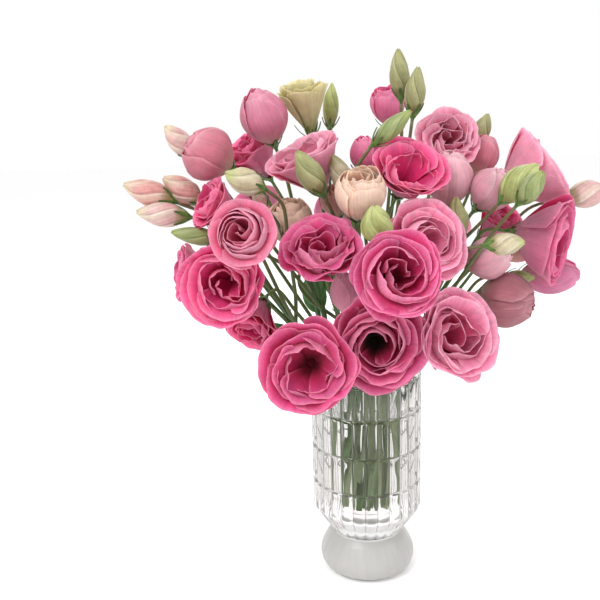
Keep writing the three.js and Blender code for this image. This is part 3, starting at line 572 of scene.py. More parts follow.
SKIRT = whorl(5, 1.0, 0.94, FLARED, 1.9, 0.09, 0, 0, roll=0.5, frill=1.6, uneven=2.2, lobe=0.2)
WHORLS = {
    "cup": (
        SKIRT,
        whorl(5, 0.82, 0.96, UPRIGHT, 1.8, 0.09, 1.2, 0.5, roll=0.15, frill=1.2, uneven=1.8),
        whorl(4, 0.6, 0.93, CUPPED, 1.7, 0.10, 2.4, 1, roll=0.3, frill=1.8, notch=4.2, uneven=2.4),
    ),
    "nested": (
        SKIRT,
        whorl(5, 0.8, 0.97, UPRIGHT, 1.8, 0.08, 1.2, 0.5, roll=0.15, frill=1.1, uneven=1.8),
        whorl(4, 0.6, 0.98, CUPPED, 1.8, 0.09, 2.4, 1, roll=0.1, frill=1.1, notch=1.6, uneven=2.4),
        whorl(3, 0.42, 0.92, CUPPED, 1.8, 0.12, 3.2, 0.3, frill=1.3, notch=2, uneven=2.6),
    ),
    "sail": (
        SKIRT,
        whorl(4, 0.85, 0.96, UPRIGHT, 1.8, 0.08, 1.2, 0.5, roll=0.15, frill=1.4, uneven=2.0),
        whorl(3, 0.62, 0.99, CUPPED, 1.5, 0.12, 2.4, 1, roll=-0.2, frill=2.0, notch=2, uneven=5),
        whorl(3, 0.36, 0.9, CUPPED, 1.5, 0.16, 3.4, 0.4, frill=2.2, notch=3, uneven=5),
    ),
    "rolled": (
        whorl(5, 1.0, 0.93, FLARED, 1.9, 0.10, 0, 0, roll=1.1, frill=0.9),
        whorl(4, 0.68, 0.98, CUPPED, 1.9, 0.09, 1.2, 0.5, roll=0.1, frill=0.9, uneven=1.8),
        whorl(3, 0.5, 1.0, CUPPED, 1.8, 0.12, 2.4, 1, frill=1.3, uneven=2.6),
        whorl(2, 0.3, 0.94, CUPPED, 1.6, 0.2, 3.6, 0.7, frill=2.0, notch=2, uneven=3),
    ),
    "ruffled": (
        whorl(5, 1.0, 0.93, FLARED, 1.8, 0.10, 0, 0, roll=0.8, frill=1.8, notch=2),
        whorl(5, 0.82, 0.97, UPRIGHT, 1.7, 0.10, 1.2, 0.5, roll=0.5, frill=1.9, notch=2.4, uneven=2.0),
        whorl(4, 0.6, 0.98, CUPPED, 1.6, 0.13, 2.4, 1, roll=0.2, frill=2.2, notch=2.6, uneven=3.0),
        whorl(3, 0.36, 0.93, CUPPED, 1.6, 0.18, 3.4, 0.4, frill=2.4, notch=2.6, uneven=3.4),
    ),
    "trumpet": (
        whorl(5, 1.0, 0.95, FLARED, 1.35, 0.10, 0, 0, roll=0.3, frill=0.9, notch=1.6),
        whorl(5, 0.78, 1.0, UPRIGHT, 1.3, 0.12, 1.2, 0.5, roll=0.1, frill=0.9, notch=1.6, uneven=1.6),
        whorl(4, 0.5, 1.02, UPRIGHT, 1.4, 0.16, 2.4, 1, frill=0.8, uneven=1.6),
    ),
    "bowl": (
        whorl(5, 1.0, 0.95, BELL, 1.75, 0.07, 0, 0, roll=0.4, frill=0.9, uneven=1.8, lobe=0.2),
        whorl(4, 0.85, 0.97, BELL, 1.7, 0.08, 1.2, 0.5, roll=0.2, frill=1.3, uneven=2, lobe=0.2),
        whorl(4, 0.62, 0.95, CUPPED, 1.7, 0.10, 2.4, 1, frill=1.5, notch=2, uneven=2.4),
    ),
    "rosebud": (
        whorl(4, 1.0, 0.93, ROUND, 1.8, 0.06, 0, 0, roll=0.3, frill=0.6, notch=1.6, uneven=1.6),
        whorl(4, 0.84, 0.97, ROUND, 1.7, 0.08, 1.2, 0.5, roll=0.2, frill=1.0, notch=2, uneven=1.8),
        whorl(3, 0.62, 1.0, CUPPED, 1.6, 0.13, 2.4, 1, frill=1.4, notch=2.4, uneven=2.2),
        whorl(3, 0.36, 0.98, CUPPED, 1.5, 0.18, 3.4, 0.3, frill=1.6, notch=2.4, uneven=2.4),
    ),
    "closed": (
        whorl(4, 1.0, 0.95, WRAPPED, 1.9, 0.06, 0, 0, frill=0.5, notch=0.7, uneven=1.8, lobe=0.26),
        whorl(4, 0.92, 0.99, TIPPED, 1.8, 0.07, 1.2, 0.5, frill=0.6, notch=0.9, uneven=1.6, lobe=0.2),
        whorl(3, 0.76, 1.0, TIPPED, 1.8, 0.1, 2.4, 1, frill=0.8, uneven=1.6),
        whorl(2, 0.5, 0.99, TIPPED, 1.8, 0.16, 3.4, 0.3, frill=1.0, uneven=1.2),
    ),
}


def petal_sheet(head, shape, w, k, u, v, luck):
    """The middle of a petal's sheet, with u from -1 to 1 across it and v up to 1, and its width's share."""
    rim = head.radius * shape["reach"] * (1 + 0.05 * shape["uneven"] * luck(1))
    top = head.length * shape["rise"] * (1 + 0.04 * shape["uneven"] * luck(2))

    # its side, to the rim's notches and rounded corners
    notches = 0.012 * np.sin(5 * u + 20 * luck(6)) + 0.007 * np.sin(12 * u + 20 * luck(7))
    notches = shape["notch"] * (notches + 0.004 * np.sin(23 * u + 20 * luck(5)))
    low = v * (1 - shape["lobe"] * (0.45 * u**2 + 0.55 * u**8) + notches * v * v)
    start, a, b, c = shape["side"]
    arch, foot = ARCH[shape["side"]], shape["root"]
    r = rim * (start + low * (a + low * (b + low * c)))
    z = foot + (top - foot) * low * (arch - (arch - 1) * low)
    slope_r = rim * (a + 2 * b * low + 3 * c * low * low)
    slope_z = top * (arch - 2 * (arch - 1) * low)
    slope = np.hypot(slope_r, slope_z)

    # its place in the whorl
    wide = 1 - (1 - v) ** 7
    step = 2 * math.pi / shape["count"]
    angle = step * (k + 0.5 * shape["turn"] + 0.5 * u * shape["spread"] * wide) + head.seed

    # its waves and folds, square to the side, and the rolled lip
    first, second, third = 1.1 + luck(8), 2.6 + 2 * luck(9), 6.5 + 3 * luck(10)
    waves = (
        0.042 * np.sin(math.pi * first * u + 12 * luck(11)) * v**2
        + 0.024 * np.sin(math.pi * second * u + 12 * luck(12)) * v**4
        + 0.006 * np.sin(math.pi * third * u + 12 * luck(13)) * v**7
    )
    folds = np.sin(8 * u + 3 * v + 12 * luck(14)) * np.sin(math.pi * v) ** 2
    off = shape["overlap"] * head.radius * u * np.minimum(1, 1.6 * v)
    off = off + shape["frill"] * head.radius * waves + 0.008 * (1 + shape["frill"]) * rim * folds
    lip = smooth(0.72, 1.0, v) ** 1.5 * shape["roll"]
    lip = lip * (1 + 0.7 * luck(15) + 0.35 * np.sin(2.6 * u + 9 * luck(16)))
    r_out = r + off * slope_z / slope + 0.04 * rim * lip
    z_out = z - off * slope_r / slope - 0.07 * head.length * lip

    # inner whorls of an open flower lean to one side
    lean = 0.0 if shape["side"] in (ROUND, WRAPPED, TIPPED) else 0.045 * head.radius * w * v**1.5
    way = 2 * math.pi * chance(head.seed, 31)
    x = r_out * np.cos(angle) + lean * math.cos(way)
    y = r_out * np.sin(angle) + lean * math.sin(way)
    return head.place(stacked(x, y, z_out)), wide


def petal_tints(colours, u, v, luck):
    """A petal's inner and outer colours: a painted highlight along its rim and edges, and soft patches of
    painted highlight and shade.
    """
    depth, throat, face, rim, outside, foot = colours
    inner = mix(depth, throat, smooth(0.12, 0.5, v))
    inner = mix(inner, face, smooth(0.5, 1.0, v + 0.1 * np.sin(3 * u + 12 * luck(4))))
    # painted highlight: the rim and the side edges are paled towards the rim colour
    rim_highlight = 0.45 * smooth(0.8, 1.0, v) ** 1.5 + 0.5 * smooth(0.94, 1.0, v)
    rim_highlight = np.maximum(rim_highlight, 0.6 * smooth(0.9, 1.0, np.abs(u)) * smooth(0.4, 0.8, v))
    # soft patches of painted light: highlights that pale the inner face towards the rim colour, and on the
    # outer face painted shade in a band up its middle with highlights towards its top
    highlight_and_shade = 0.5 + 0.5 * np.sin(3.1 * u + 5 * v + 12 * luck(18))
    inner = mix(inner, rim, np.clip(0.8 * rim_highlight + 0.16 * highlight_and_shade * smooth(0.55, 1, v), 0, 1))
    outer = mix(foot, outside, smooth(0.05, 0.5, v))
    outer = mix(outer, face, 0.30 * (1 - highlight_and_shade) * np.sin(math.pi * v))
    outer = mix(outer, rim, np.clip(0.7 * rim_highlight + 0.3 * highlight_and_shade * smooth(0.45, 1, v), 0, 1))
    shade = 1 + 0.10 * luck(17)
    return inner * shade, outer * shade


def petal(form, head, shape, w, k, colours, columns, rows):
    """Petal k of whorl w, with its rows closer together towards the rim."""

    def luck(n):
        return chance(head.seed * 7 + w, k * 5 + n) - 0.5

    u = np.linspace(-1, 1, columns)[None, :]
    v = (1 - (1 - np.linspace(0.04, 1, rows)) ** 1.3)[:, None]
    middle, wide = petal_sheet(head, shape, w, k, u, v, luck)
    across, up = np.broadcast_arrays(u, v)
    inner, outer = petal_tints(colours, across, up, luck)
    grain = stacked(across * 0.6 * (0.3 + wide), up, head.seed + 0.37 * w + 1.7 * k)
    thickness = PETAL_THICKNESS * (1 - 0.55 * smooth(0.6, 1.0, np.maximum(np.abs(across), up)))
    shell(form, middle, thickness, outer, inner, grain)


def bloom(head):
    """An open or half-open flower: its petals, and the ovary in its throat."""
    form = Form()
    look, build = head.wear
    colours = [colour(code) for code in LOOKS[look].split()]
    for w, shape in enumerate(WHORLS[build]):
        size = head.radius * shape["reach"] * shape["spread"] / shape["count"]
        columns = int(np.clip(round(size * COLUMNS_PER_MM), *COLUMNS))
        rows = OUTER_ROWS if w < 2 else INNER_ROWS
        for k in range(shape["count"]):
            petal(form, head, shape, w, k, colours, columns, rows)
    heights, widths = np.array(OVARY).T * [[head.length], [head.radius]]
    widths[0] = OVARY_FOOT
    ovary = head.place(heights[:, None] * (0.0, 0.0, 1.0))
    tube(form, ovary, widths, 12, mix(THROAT_SHADE, colours[0], 0.7), head.seed)
    return form.make(head.name + "_petals", [PETAL])


# ---------------------------------------------------------------- materials
NOISE_RANGE = (0.3, 0.7)  # where nearly all of a noise's values lie


class Nodes:
    """Short ways to build a material's nodes. A socket takes a value, or another node's output."""

    def __init__(self, name):
        self.material = bpy.data.materials.new(name)
        self.material.use_nodes = True
        self.tree = self.material.node_tree
        self.tree.nodes.clear()

    def new(self, kind, sockets, **settings):
        node = self.tree.nodes.new("ShaderNode" + kind)
        for key, value in settings.items():
            setattr(node, key, value)
        for socket, value in sockets.items():
            if isinstance(value, bpy.types.NodeSocket):
                self.tree.links.new(value, node.inputs[socket])
            else:
                node.inputs[socket].default_value = value
        return node

    def attribute(self, name, output):
        return self.new("Attribute", {}, attribute_name=name, attribute_type="GEOMETRY").outputs[output]

    def tint(self):
        return self.attribute("tint", "Color")

    def grain(self):
        return self.attribute("grain", "Vector")

    def place(self):
        return self.new("TexCoord", {}).outputs["Object"]

    def noise(self, vector, scale, stretch=(1.0, 1.0, 1.0), detail=3.0):
        mapped = self.new("Mapping", {"Vector": vector, "Scale": stretch}).outputs["Vector"]
        sockets = {"Vector": mapped, "Scale": scale, "Detail": detail, "Roughness": 0.55}
        return self.new("TexNoise", sockets).outputs["Fac"]

    def spread(self, value, low, high):
        """Stretches a noise to run from low to high."""
        least, most = NOISE_RANGE
        sockets = {"Value": value, "From Min": least, "From Max": most, "To Min": low, "To Max": high}
        return self.new("MapRange", sockets).outputs["Result"]

    def math(self, operation, a, b):
        return self.new("Math", {0: a, 1: b}, operation=operation).outputs["Value"]

    def varied(self, base, a, b):
        """A colour made lighter and darker by two patterns."""
        factor = self.math("MULTIPLY", a, b)
        return self.new("VectorMath", {0: base, "Scale": factor}, operation="SCALE").outputs["Vector"]

    def bump(self, height, strength, distance):
        sockets = {"Height": height, "Strength": strength, "Distance": distance}
        return self.new("Bump", sockets).outputs["Normal"]

    def surface(self, **values):
        sockets = {key.replace("_", " "): value for key, value in values.items()}
        return self.new("BsdfPrincipled", sockets).outputs["BSDF"]

    def thin(self, skin, share, through):
        """Lets a share of the light through a skin. through has the sockets of the light inside."""
        inside = self.new("BsdfTranslucent", through).outputs["BSDF"]
        return self.new("MixShader", {"Fac": share, 1: skin, 2: inside}).outputs["Shader"]

    def finish(self, shader):
        self.new("OutputMaterial", {"Surface": shader})
        return self.material


def petal_material():
    m = Nodes("petal_silk")
    place = m.place()
    veins = m.noise(m.grain(), 1.0, stretch=(26.0, 1.3, 1.0))
    mottle, crumple = m.noise(place, 160.0), m.noise(place, 420.0, detail=2.0)
    base = m.varied(m.tint(), m.spread(veins, 0.9, 1.08), m.spread(mottle, 0.93, 1.06))
    normal = m.bump(m.math("ADD", veins, m.math("MULTIPLY", crumple, 0.6)), 0.22, 0.0006)
    silk = m.surface(
        Base_Color=base, Normal=normal, Roughness=m.spread(mottle, 0.46, 0.6), Specular_IOR_Level=0.35,
        Sheen_Weight=0.22, Sheen_Roughness=0.45,
    )
    return m.finish(m.thin(silk, 0.5, {"Color": base, "Normal": normal}))


def green_material(name, streak, rough, share):
    """The skin of stalks, leaves and buds. streak is how fine its streaks are."""
    m = Nodes(name)
    streaks, mottle = m.noise(m.grain(), 1.0, stretch=(streak, 1.0, 1.0)), m.noise(m.place(), 240.0)
    base = m.varied(m.tint(), m.spread(streaks, 0.82, 1.14), m.spread(mottle, 0.88, 1.1))
    normal = m.bump(m.math("ADD", streaks, m.math("MULTIPLY", mottle, 0.4)), 0.3, 0.0005)
    skin = m.surface(
        Base_Color=base, Normal=normal, Roughness=m.spread(mottle, rough - 0.06, rough + 0.1),
        Specular_IOR_Level=0.45, Coat_Weight=0.12, Coat_Roughness=0.3,
    )
    return m.finish(m.thin(skin, share, {"Color": base}))


def glass_material(name, rough, ior, ripple=0.0, clear=1.0):
    """Rippled glass has each point's tint, and smooth glass or water has none."""
    m = Nodes(name)
    look = dict(Base_Color=(1.0, 1.0, 1.0, 1.0), Roughness=rough)
    if ripple:
        height = m.noise(m.place(), 90.0, stretch=(1.0, 1.0, 0.5), detail=2.0)
        rougher = m.spread(height, rough, rough + 0.04)
        look = dict(Base_Color=m.tint(), Normal=m.bump(height, 0.12, ripple), Roughness=rougher)
    return m.finish(m.surface(IOR=ior, Transmission_Weight=clear, Specular_IOR_Level=0.5, **look))


def unseen_material(name):
    """Nothing to see: the glass that the water wets bends the light here."""
    m = Nodes(name)
    return m.finish(m.new("BsdfTransparent", {}).outputs["BSDF"])


GLASS_IOR, WATER_IOR = 1.42, 1.28
PETAL = petal_material()
GREENERY = green_material("green_skin", 5.0, 0.42, 0.08)
BUD_SKIN = green_material("bud_skin", 8.0, 0.48, 0.18)
GLASS = glass_material("pressed_glass", 0.02, GLASS_IOR, ripple=0.001)
FROSTED = glass_material("frosted_glass", 0.3, 1.45, ripple=0.0012, clear=0.3)
WETTED = glass_material("wetted_glass", 0.0, GLASS_IOR / WATER_IOR)
WATER = glass_material("water_clear", 0.0, WATER_IOR)
UNSEEN = unseen_material("water_side")


# ---------------------------------------------------------------- stems: calyces, buds, leaves and stalks
GREEN, DEEP_GREEN, OLIVE, BARK = colour("5f843c"), colour("3a6326"), colour("6b7040"), colour("5c4433")
# painted highlight: the pale green that stems under water are painted with, for how light they look through
# water and glass
UNDERWATER_HIGHLIGHT_GREEN = colour("aebd90")
LEAF_DARK, LEAF_LIGHT, MIDRIB = colour("2f6a1e"), colour("4a862a"), colour("86a95a")
# Colours of a bud: its foot, each petal's pale side and deep side, and its tip.
BUD_LOOKS = {
    "green": "76784a a0a874 7f8e50 9ca660",
    "olive": "7f754e aeac7c 8b8b5c a6a66e",
    "lime": "93905c b8c07c 9ea662 c0c684",
    "cream": "9e9e66 d2c8ae c0b48e b2ba74",
    "pink": "a09a6a dccebd d2a0a2 d2caa6",
    "coral": "9e9662 dac9b6 d48c8a d6c6aa",
}
# A bud's side: share of its length, share of its radius.
BUD_SIDE = (
    (0, 0.36), (0.1, 0.64), (0.22, 0.88), (0.38, 1.0), (0.54, 0.98), (0.68, 0.86), (0.82, 0.62), (0.92, 0.4),
    (0.97, 0.26), (1, 0.12),
)
BUD_PETALS, BUD_ROWS = 4, 34
# Where the points lie across one petal of a bud, closer together at its edges.
PETAL_POINTS = (0, 0.05, 0.14, 0.26, 0.38, 0.5, 0.6, 0.69, 0.77, 0.84, 0.9, 0.95)
# Calyces: how far the sepals lean in degrees, their length, and the cup's radius, which is 0 where it follows
# from the bud's.
CALYX = {"open": (52, 12, 3.3), "bell": (52, 12, 3.3), "half": (58, 11, 3.3), "bud": (44, 10, 0)}
# A cup's side above the stalk's end: height from the head's base, share of the cup's radius.
CALYX_CUP = ((-3.4, 0.5), (-2.2, 0.78), (-1.2, 0.93), (-0.5, 1.0), (0.6, 0.98), (0.5, 0.8))
CALYX_SIDES = 20
SEPALS = 5


def bud(form, head):
    """A closed bud: petals rolled round each other, their edges winding up to a loose tip."""
    foot, pale, deep, tip = [colour(code) for code in BUD_LOOKS[head.wear[0]].split()]
    winding = np.tile(PETAL_POINTS, BUD_PETALS)[None, :]
    sides = winding.shape[1]
    t = np.linspace(0, 1, BUD_ROWS)[:, None]
    place = (np.repeat(np.arange(BUD_PETALS), len(PETAL_POINTS)) + winding) / BUD_PETALS
    turn = 2 * np.pi * (place - (0.27 + 0.12 * chance(head.seed, 3)) * t) + head.seed
    profile = np.interp(t[:, 0], *np.array(BUD_SIDE).T)
    profile = np.convolve(np.pad(profile, 1, mode="edge"), (0.25, 0.5, 0.25), "valid")[:, None]
    step = winding - smooth(0.88, 1.0, winding) * 0.9
    pleat = 0.014 * np.sin(9 * turn + 5 * t + head.seed)
    pleat = pleat + 0.05 * smooth(0.7, 0.95, t) * np.sin(5 * turn + 9 * t)
    r = head.radius * profile * (0.94 + 0.11 * step * smooth(0.05, 0.3, t) + pleat)
    z = -GAP + (head.length * (1 + 0.03 * np.sin(3 * turn + head.seed) * smooth(0.6, 1, t)) + GAP) * t
    points = round_points(r, turn, z)

    light = 0.5 * winding + 0.5 * smooth(0.3, 0.95, winding)
    light = light + 0.14 * np.sin(7 * t + head.seed) + 0.1 * np.sin(11 * turn)
    tint = mix(deep, pale, 0.12 + 0.76 * np.clip(light, 0, 1))
    tint = mix(mix(foot, tint, smooth(0.05, 0.32, t)), tip, 0.85 * smooth(0.72, 1.0, t))
    # painted shade in the creases where each petal's edge meets the next
    groove_shade = smooth(0.94, 1.0, winding) + (1 - smooth(0.0, 0.1, winding))
    tint = tint * (1 - 0.3 * groove_shade * smooth(0.05, 0.2, t))[..., None]
    grain = stacked(8 * place, 1.5 * t, head.seed + 0.5)
    n = BUD_ROWS * sides
    points = np.concatenate([head.place(points).reshape(n, 3), head.place(np.array([[0.0, 0, head.length]]))])
    tint = np.concatenate([tint.reshape(n, 3), tint[-1, :1]])
    grain = np.concatenate([grain.reshape(n, 3), grain[-1, :1]])
    tip_fan = fan(n, n - sides + np.arange(sides))
    form.add(points, tint, grain, grid_quads(BUD_ROWS, sides, closed=True), tip_fan, slot=1)


def calyx(form, head):
    """The cup that a bloom or bud sits in, and its thin pointed sepals."""
    lean, length, cup = CALYX[head.kind]
    lean = rad(lean)
    cup = cup or 0.3 * head.radius + 0.7
    heights, shares = np.array(CALYX_CUP).T
    heights = np.concatenate([[-CALYX_DEPTH - GAP], heights])[:, None]
    radii = np.concatenate([[NECK_RADIUS], shares * cup])[:, None]
    rows = len(heights)
    turn = 2 * np.pi * np.arange(CALYX_SIDES)[None, :] / CALYX_SIDES
    r = radii * (1 + 0.05 * np.cos(SEPALS * turn + head.seed))
    points = head.place(round_points(r, turn, heights)).reshape(-1, 3)
    shade = mix(GREEN, DEEP_GREEN, 0.5 + 0.5 * np.cos(SEPALS * turn + head.seed))
    tint = np.broadcast_to(shade, (rows, CALYX_SIDES, 3)).reshape(-1, 3)
    grain = stacked(3 * turn, 0.1 * heights, head.seed).reshape(-1, 3)
    form.add(points, tint, grain, grid_quads(rows, CALYX_SIDES, closed=True))

    u, v = sheet(5, 9)
    for k in range(SEPALS):
        luck = chance(head.seed * 3, k) - 0.5
        reach = length * (1.05 + 0.3 * luck)
        tilt = lean * (0.95 - 0.3 * v + 0.1 * luck)
        out = 0.93 * cup + reach * v * np.sin(tilt)
        up = -0.8 + reach * v * np.cos(tilt)
        half = (1.3 * (1 - v) ** 0.7 + 0.42) * (1 + 0.2 * luck)
        angle = 2 * np.pi * k / SEPALS + head.seed + half * u / np.maximum(out, 1)
        keeled = out + 0.25 * (1 - u * u) * (1 - v)
        middle = round_points(keeled, angle, up)
        grain = stacked(u, v, head.seed + k)
        height = grain[..., 1]
        tint = mix(GREEN, DEEP_GREEN, smooth(0.1, 0.9, height))
        tint = mix(tint, BARK, 0.45 * smooth(0.75, 1.0, height))
        # one side is the other's colour painted darker, as shade
        shell(form, head.place(middle), np.full(height.shape, 0.5), tint, tint * 0.9, grain)


def blade(form, root, axes, forward, lift, across, thickness, under, over, grain):
    """A thin leaf, by how far its points lie along, out from and beside its stalk. Those are the axes."""
    along, out, side = axes
    middle = root + forward[..., None] * along + lift[..., None] * out + across[..., None] * side
    shell(form, middle, np.full(lift.shape, thickness), under, over, grain)


def leaf(form, route, share, length, width, turn):
    """A pointed oval leaf with a sunk midrib, on the main stalk of a stem."""
    at = share * (len(route.points) - 1)
    i = int(at)
    root = route.points[i] + (route.points[i + 1] - route.points[i]) * (at - i)
    along = unit(route.points[i + 1] - route.points[i])
    out = np.array((math.cos(rad(turn)), math.sin(rad(turn)), 0.0))
    side = unit(np.cross(along, out))
    u, v = sheet(15, 25)
    half = np.maximum(1.0 * (1 - v), 1.15 * width * np.sqrt(v) * np.maximum(0, 1 - v) ** 0.8) + 0.15
    rib = 0.35 * np.exp(-((u / 0.12) ** 2)) * (1 - v)
    wave = 0.5 * np.sin(9 * v + 2 * np.sign(u)) * u * u * np.sin(np.pi * v)
    veins = np.sin(26 * (v - 0.35 * np.abs(u)))
    lift = length * (0.28 * v + 0.42 * v * v) + 0.12 * width * u * u * np.minimum(1, 3 * v)
    lift = lift - rib + wave + 0.12 * veins * np.abs(u) * (1 - u * u)
    tint = mix(LEAF_DARK, LEAF_LIGHT, 0.5 + 0.5 * veins)
    tint = mix(tint, MIDRIB, 0.8 * np.exp(-((u / 0.07) ** 2)))
    forward, grain = length * v * (0.86 - 0.3 * v), stacked(u, v * 2, turn)
    # the underside is the upper side's colour painted darker, as shade
    blade(form, root, (along, out, side), forward, lift, u * half, 0.6, tint * 0.8, tint, grain)


def bract(form, root, along, turn, length):
    """A small narrow leaf at a fork."""
    first = unit(np.cross(along, FIRST_SIDE))
    out = first * math.cos(turn) + np.cross(along, first) * math.sin(turn)
    side = np.cross(along, out)
    u, v = sheet(5, 11)
    half = 0.12 * length * np.sin(np.pi * np.clip(0.15 + 0.85 * v, 0, 1)) + 0.12
    lift = length * (0.1 * v + 0.3 * v * v) + 0.03 * length * u * u
    forward, grain = length * v * (0.95 - 0.25 * v), stacked(u, v, turn)
    tint = mix(GREEN, DEEP_GREEN, smooth(0.2, 0.9, grain[..., 1]))
    # the underside is the upper side's colour painted darker, as shade
    blade(form, root, (along, out, side), forward, lift, u * half, 0.45, tint * 0.85, tint, grain)


STALK_SPANS = 6  # between two points of a route
UNDERWATER_HIGHLIGHT_BLEND = 30.0  # from the rim down to where a stem is as pale as its painted highlight under water


def stalk(form, route, forks):
    """One stalk, thicker at its forks. A main stalk starts at its cut end under water."""
    line = spline(route.points, STALK_SPANS)
    steps = np.arange(len(line))
    radii = route.thick + (NECK_RADIUS - route.thick) * np.linspace(0, 1, len(line))
    for at in forks:
        radii = radii + 0.55 * np.exp(-(((steps - at * STALK_SPANS) / 1.3) ** 2))
    brown = 0.25 + 0.45 * chance(route.head.seed, 21)
    tip = mix(OLIVE, BARK, brown) if route.head.kind == "bud" else mix(GREEN, OLIVE, brown)
    if route.foot is None:
        radii[0] = 0.7 * TWIG_RADIUS
        tints = mix(mix(DEEP_GREEN, OLIVE, 0.5), tip, smooth(0.45, 1.0, np.linspace(0, 1, len(line))))
    else:
        inside = route.foot + (route.points[0] - route.foot) * np.linspace(0, 1, 12)[:-1, None]
        line = np.concatenate([inside, line])
        radii = np.concatenate([np.full(len(inside), route.thick), radii])
        # painted highlight under water, stronger or weaker on each stem
        underwater_highlight = mix(GREEN, UNDERWATER_HIGHLIGHT_GREEN, chance(route.head.seed, 22))
        tints = mix(DEEP_GREEN, tip, smooth(0.45, 1.0, np.linspace(0, 1, len(line))))
        tints = mix(tints, underwater_highlight, 1 - smooth(VASE["rim"] - UNDERWATER_HIGHLIGHT_BLEND, VASE["rim"], line[:, 2]))
    tube(form, line, radii, 10, tints, route.head.seed)


def stem(name):
    """A stem with all its stalks, bracts, calyces, buds and leaves."""
    form = Form()
    own = [route for route in routes if route.stem == name]
    for route in own:
        forks = [other.at for other in own if other.source is route]
        stalk(form, route, forks)
        for at in forks:
            along = unit(route.points[at + 1] - route.points[at])
            for side in (0, 1):
                turn = route.head.seed + at * STALK_SPANS + math.pi * side
                length = 11 + 6 * chance(at * STALK_SPANS, route.head.seed + side)
                bract(form, route.points[at], along, turn, length)
        calyx(form, route.head)
        if route.head.kind == "bud":
            bud(form, route.head)
    for stem_name, share, length, width, turn in LEAVES:
        if stem_name == name:
            leaf(form, own[0], share, length, width, turn)
    return form.make(name + "_green", [GREENERY, BUD_SKIN])


# ---------------------------------------------------------------- vase and water
# the glass's tint, a grey for its painted reflection streaks, and a dark for the painted shade in its grooves
CLEAR_GLASS, GLASS_STREAK_REFLECTION, GLASS_GROOVE_SHADE = colour("dad7d5"), colour("b9b6b4"), colour("84867f")
FROST, FROST_LIGHT = colour("bcbbb8"), colour("c4c3bf")
VASE_MATERIALS = [GLASS, FROSTED, WETTED, UNSEEN]
DRY, FROSTY, WET, HIDDEN = range(4)  # their slots
POINTS_PER_FLUTE = 14
FOOT_FLUTE_DEPTH = 0.55
BELLY = 0.03  # how far the lower body swells out between waist and wall, as a share of that step
RIM_EDGE = 0.8  # of the slope at the rim's inner edge
WETTING = 0.1  # how far the water reaches into the glass
MENISCUS = ((0.2, 0), (-0.2, 0.5), (-0.5, 1.4), (-0.6, 3))  # height, distance from the glass
WATER_SIDES = 96


def lathe(form, radii, heights, tint, slots):
    """A closed surface of rings: radii is heights by sides, and tint is one colour, or heights by sides
    of them. slots has a material for each step between two rings."""
    rows, sides = radii.shape
    turn = 2 * np.pi * np.arange(sides) / sides
    points = round_points(radii, turn, heights[:, None]).reshape(-1, 3)
    points = np.concatenate([points, [(0.0, 0.0, heights[0]), (0.0, 0.0, heights[-1])]])
    under, over = end_fans(rows * sides, sides)
    shades = np.broadcast_to(tint, (rows, sides, 3)).reshape(-1, 3)
    shades = np.concatenate([shades, shades[:1], shades[-1:]])
    start = form.count
    form.add(points, shades, np.zeros(3), np.zeros((0, 4), int), under, slot=slots[0])
    form.tris.append((over + start, slots[-1]))
    quads = grid_quads(rows, sides, closed=True).reshape(rows - 1, sides, 4)
    form.quads += [(row + start, slot) for row, slot in zip(quads, slots)]


def quarter(steps):
    """Steps along a quarter of a circle: the share of them done, the way up and the way in."""
    for t in np.linspace(0, 1, steps + 1)[1:]:
        yield t, math.sin(0.5 * math.pi * t), 1 - math.cos(0.5 * math.pi * t)


def vase_rows():
    """The vase's rings, up from the foot and down inside: height, radius, flutes' depth and material."""
    v = VASE
    foot = np.array(v["foot"], float)
    waist, waist_height = foot[-1]
    rows = []
    for r, z in spline(foot, 6):
        z = max(z, 0.0)
        depth = FOOT_FLUTE_DEPTH * math.sin(math.pi * z / waist_height)
        rows.append((z, min(r, foot[:, 0].max()), depth, FROSTY))
    for t in np.linspace(0, 1, 9)[1:]:
        z = waist_height + (v["body_from"] - waist_height) * t
        r = waist + (v["body"] - waist) * (t + BELLY * math.sin(math.pi * t))
        rows.append((z, r, v["flute_depth"] * t, DRY))

    edges = [v["body_from"]]
    for band in v["bands"]:
        edges += [band - v["band_half"], band, band + v["band_half"]]
    edges.append(v["rim"] - v["lip_height"])
    for low, high in zip(edges, edges[1:]):
        near_low, near_high = low in v["bands"], high in v["bands"]
        steps = 4 if near_low or near_high else 8
        for t in np.linspace(0, 1, steps + 1)[1:]:
            z = low + (high - low) * t
            cut = smooth(0, 1, 1 - t if near_low else t if near_high else 0.0)
            rows.append((z, v["body"] - v["band_depth"] * cut, v["flute_depth"] * (1 - cut), DRY))

    for t, up, inward in quarter(6):
        z = v["rim"] - v["lip_height"] * (1 - up)
        rows.append((z, v["body"] - v["lip"] * inward, v["flute_depth"] * (1 - t), DRY))
    rows.append((v["rim"], v["inner"] + RIM_EDGE, 0.0, DRY))
    rows.append((v["rim"] - RIM_EDGE, v["inner"], 0.0, DRY))
    for z in np.linspace(WATER_LEVEL, v["floor"] + v["cove_height"], 10):
        rows.append((z, v["inner"], 0.0, WET))
    for _, up, inward in quarter(8):
        z = v["floor"] + v["cove_height"] * (1 - up)
        rows.append((z, v["inner"] - v["cove_width"] * inward, 0.0, HIDDEN))
    return [np.array(column) for column in zip(*rows)]


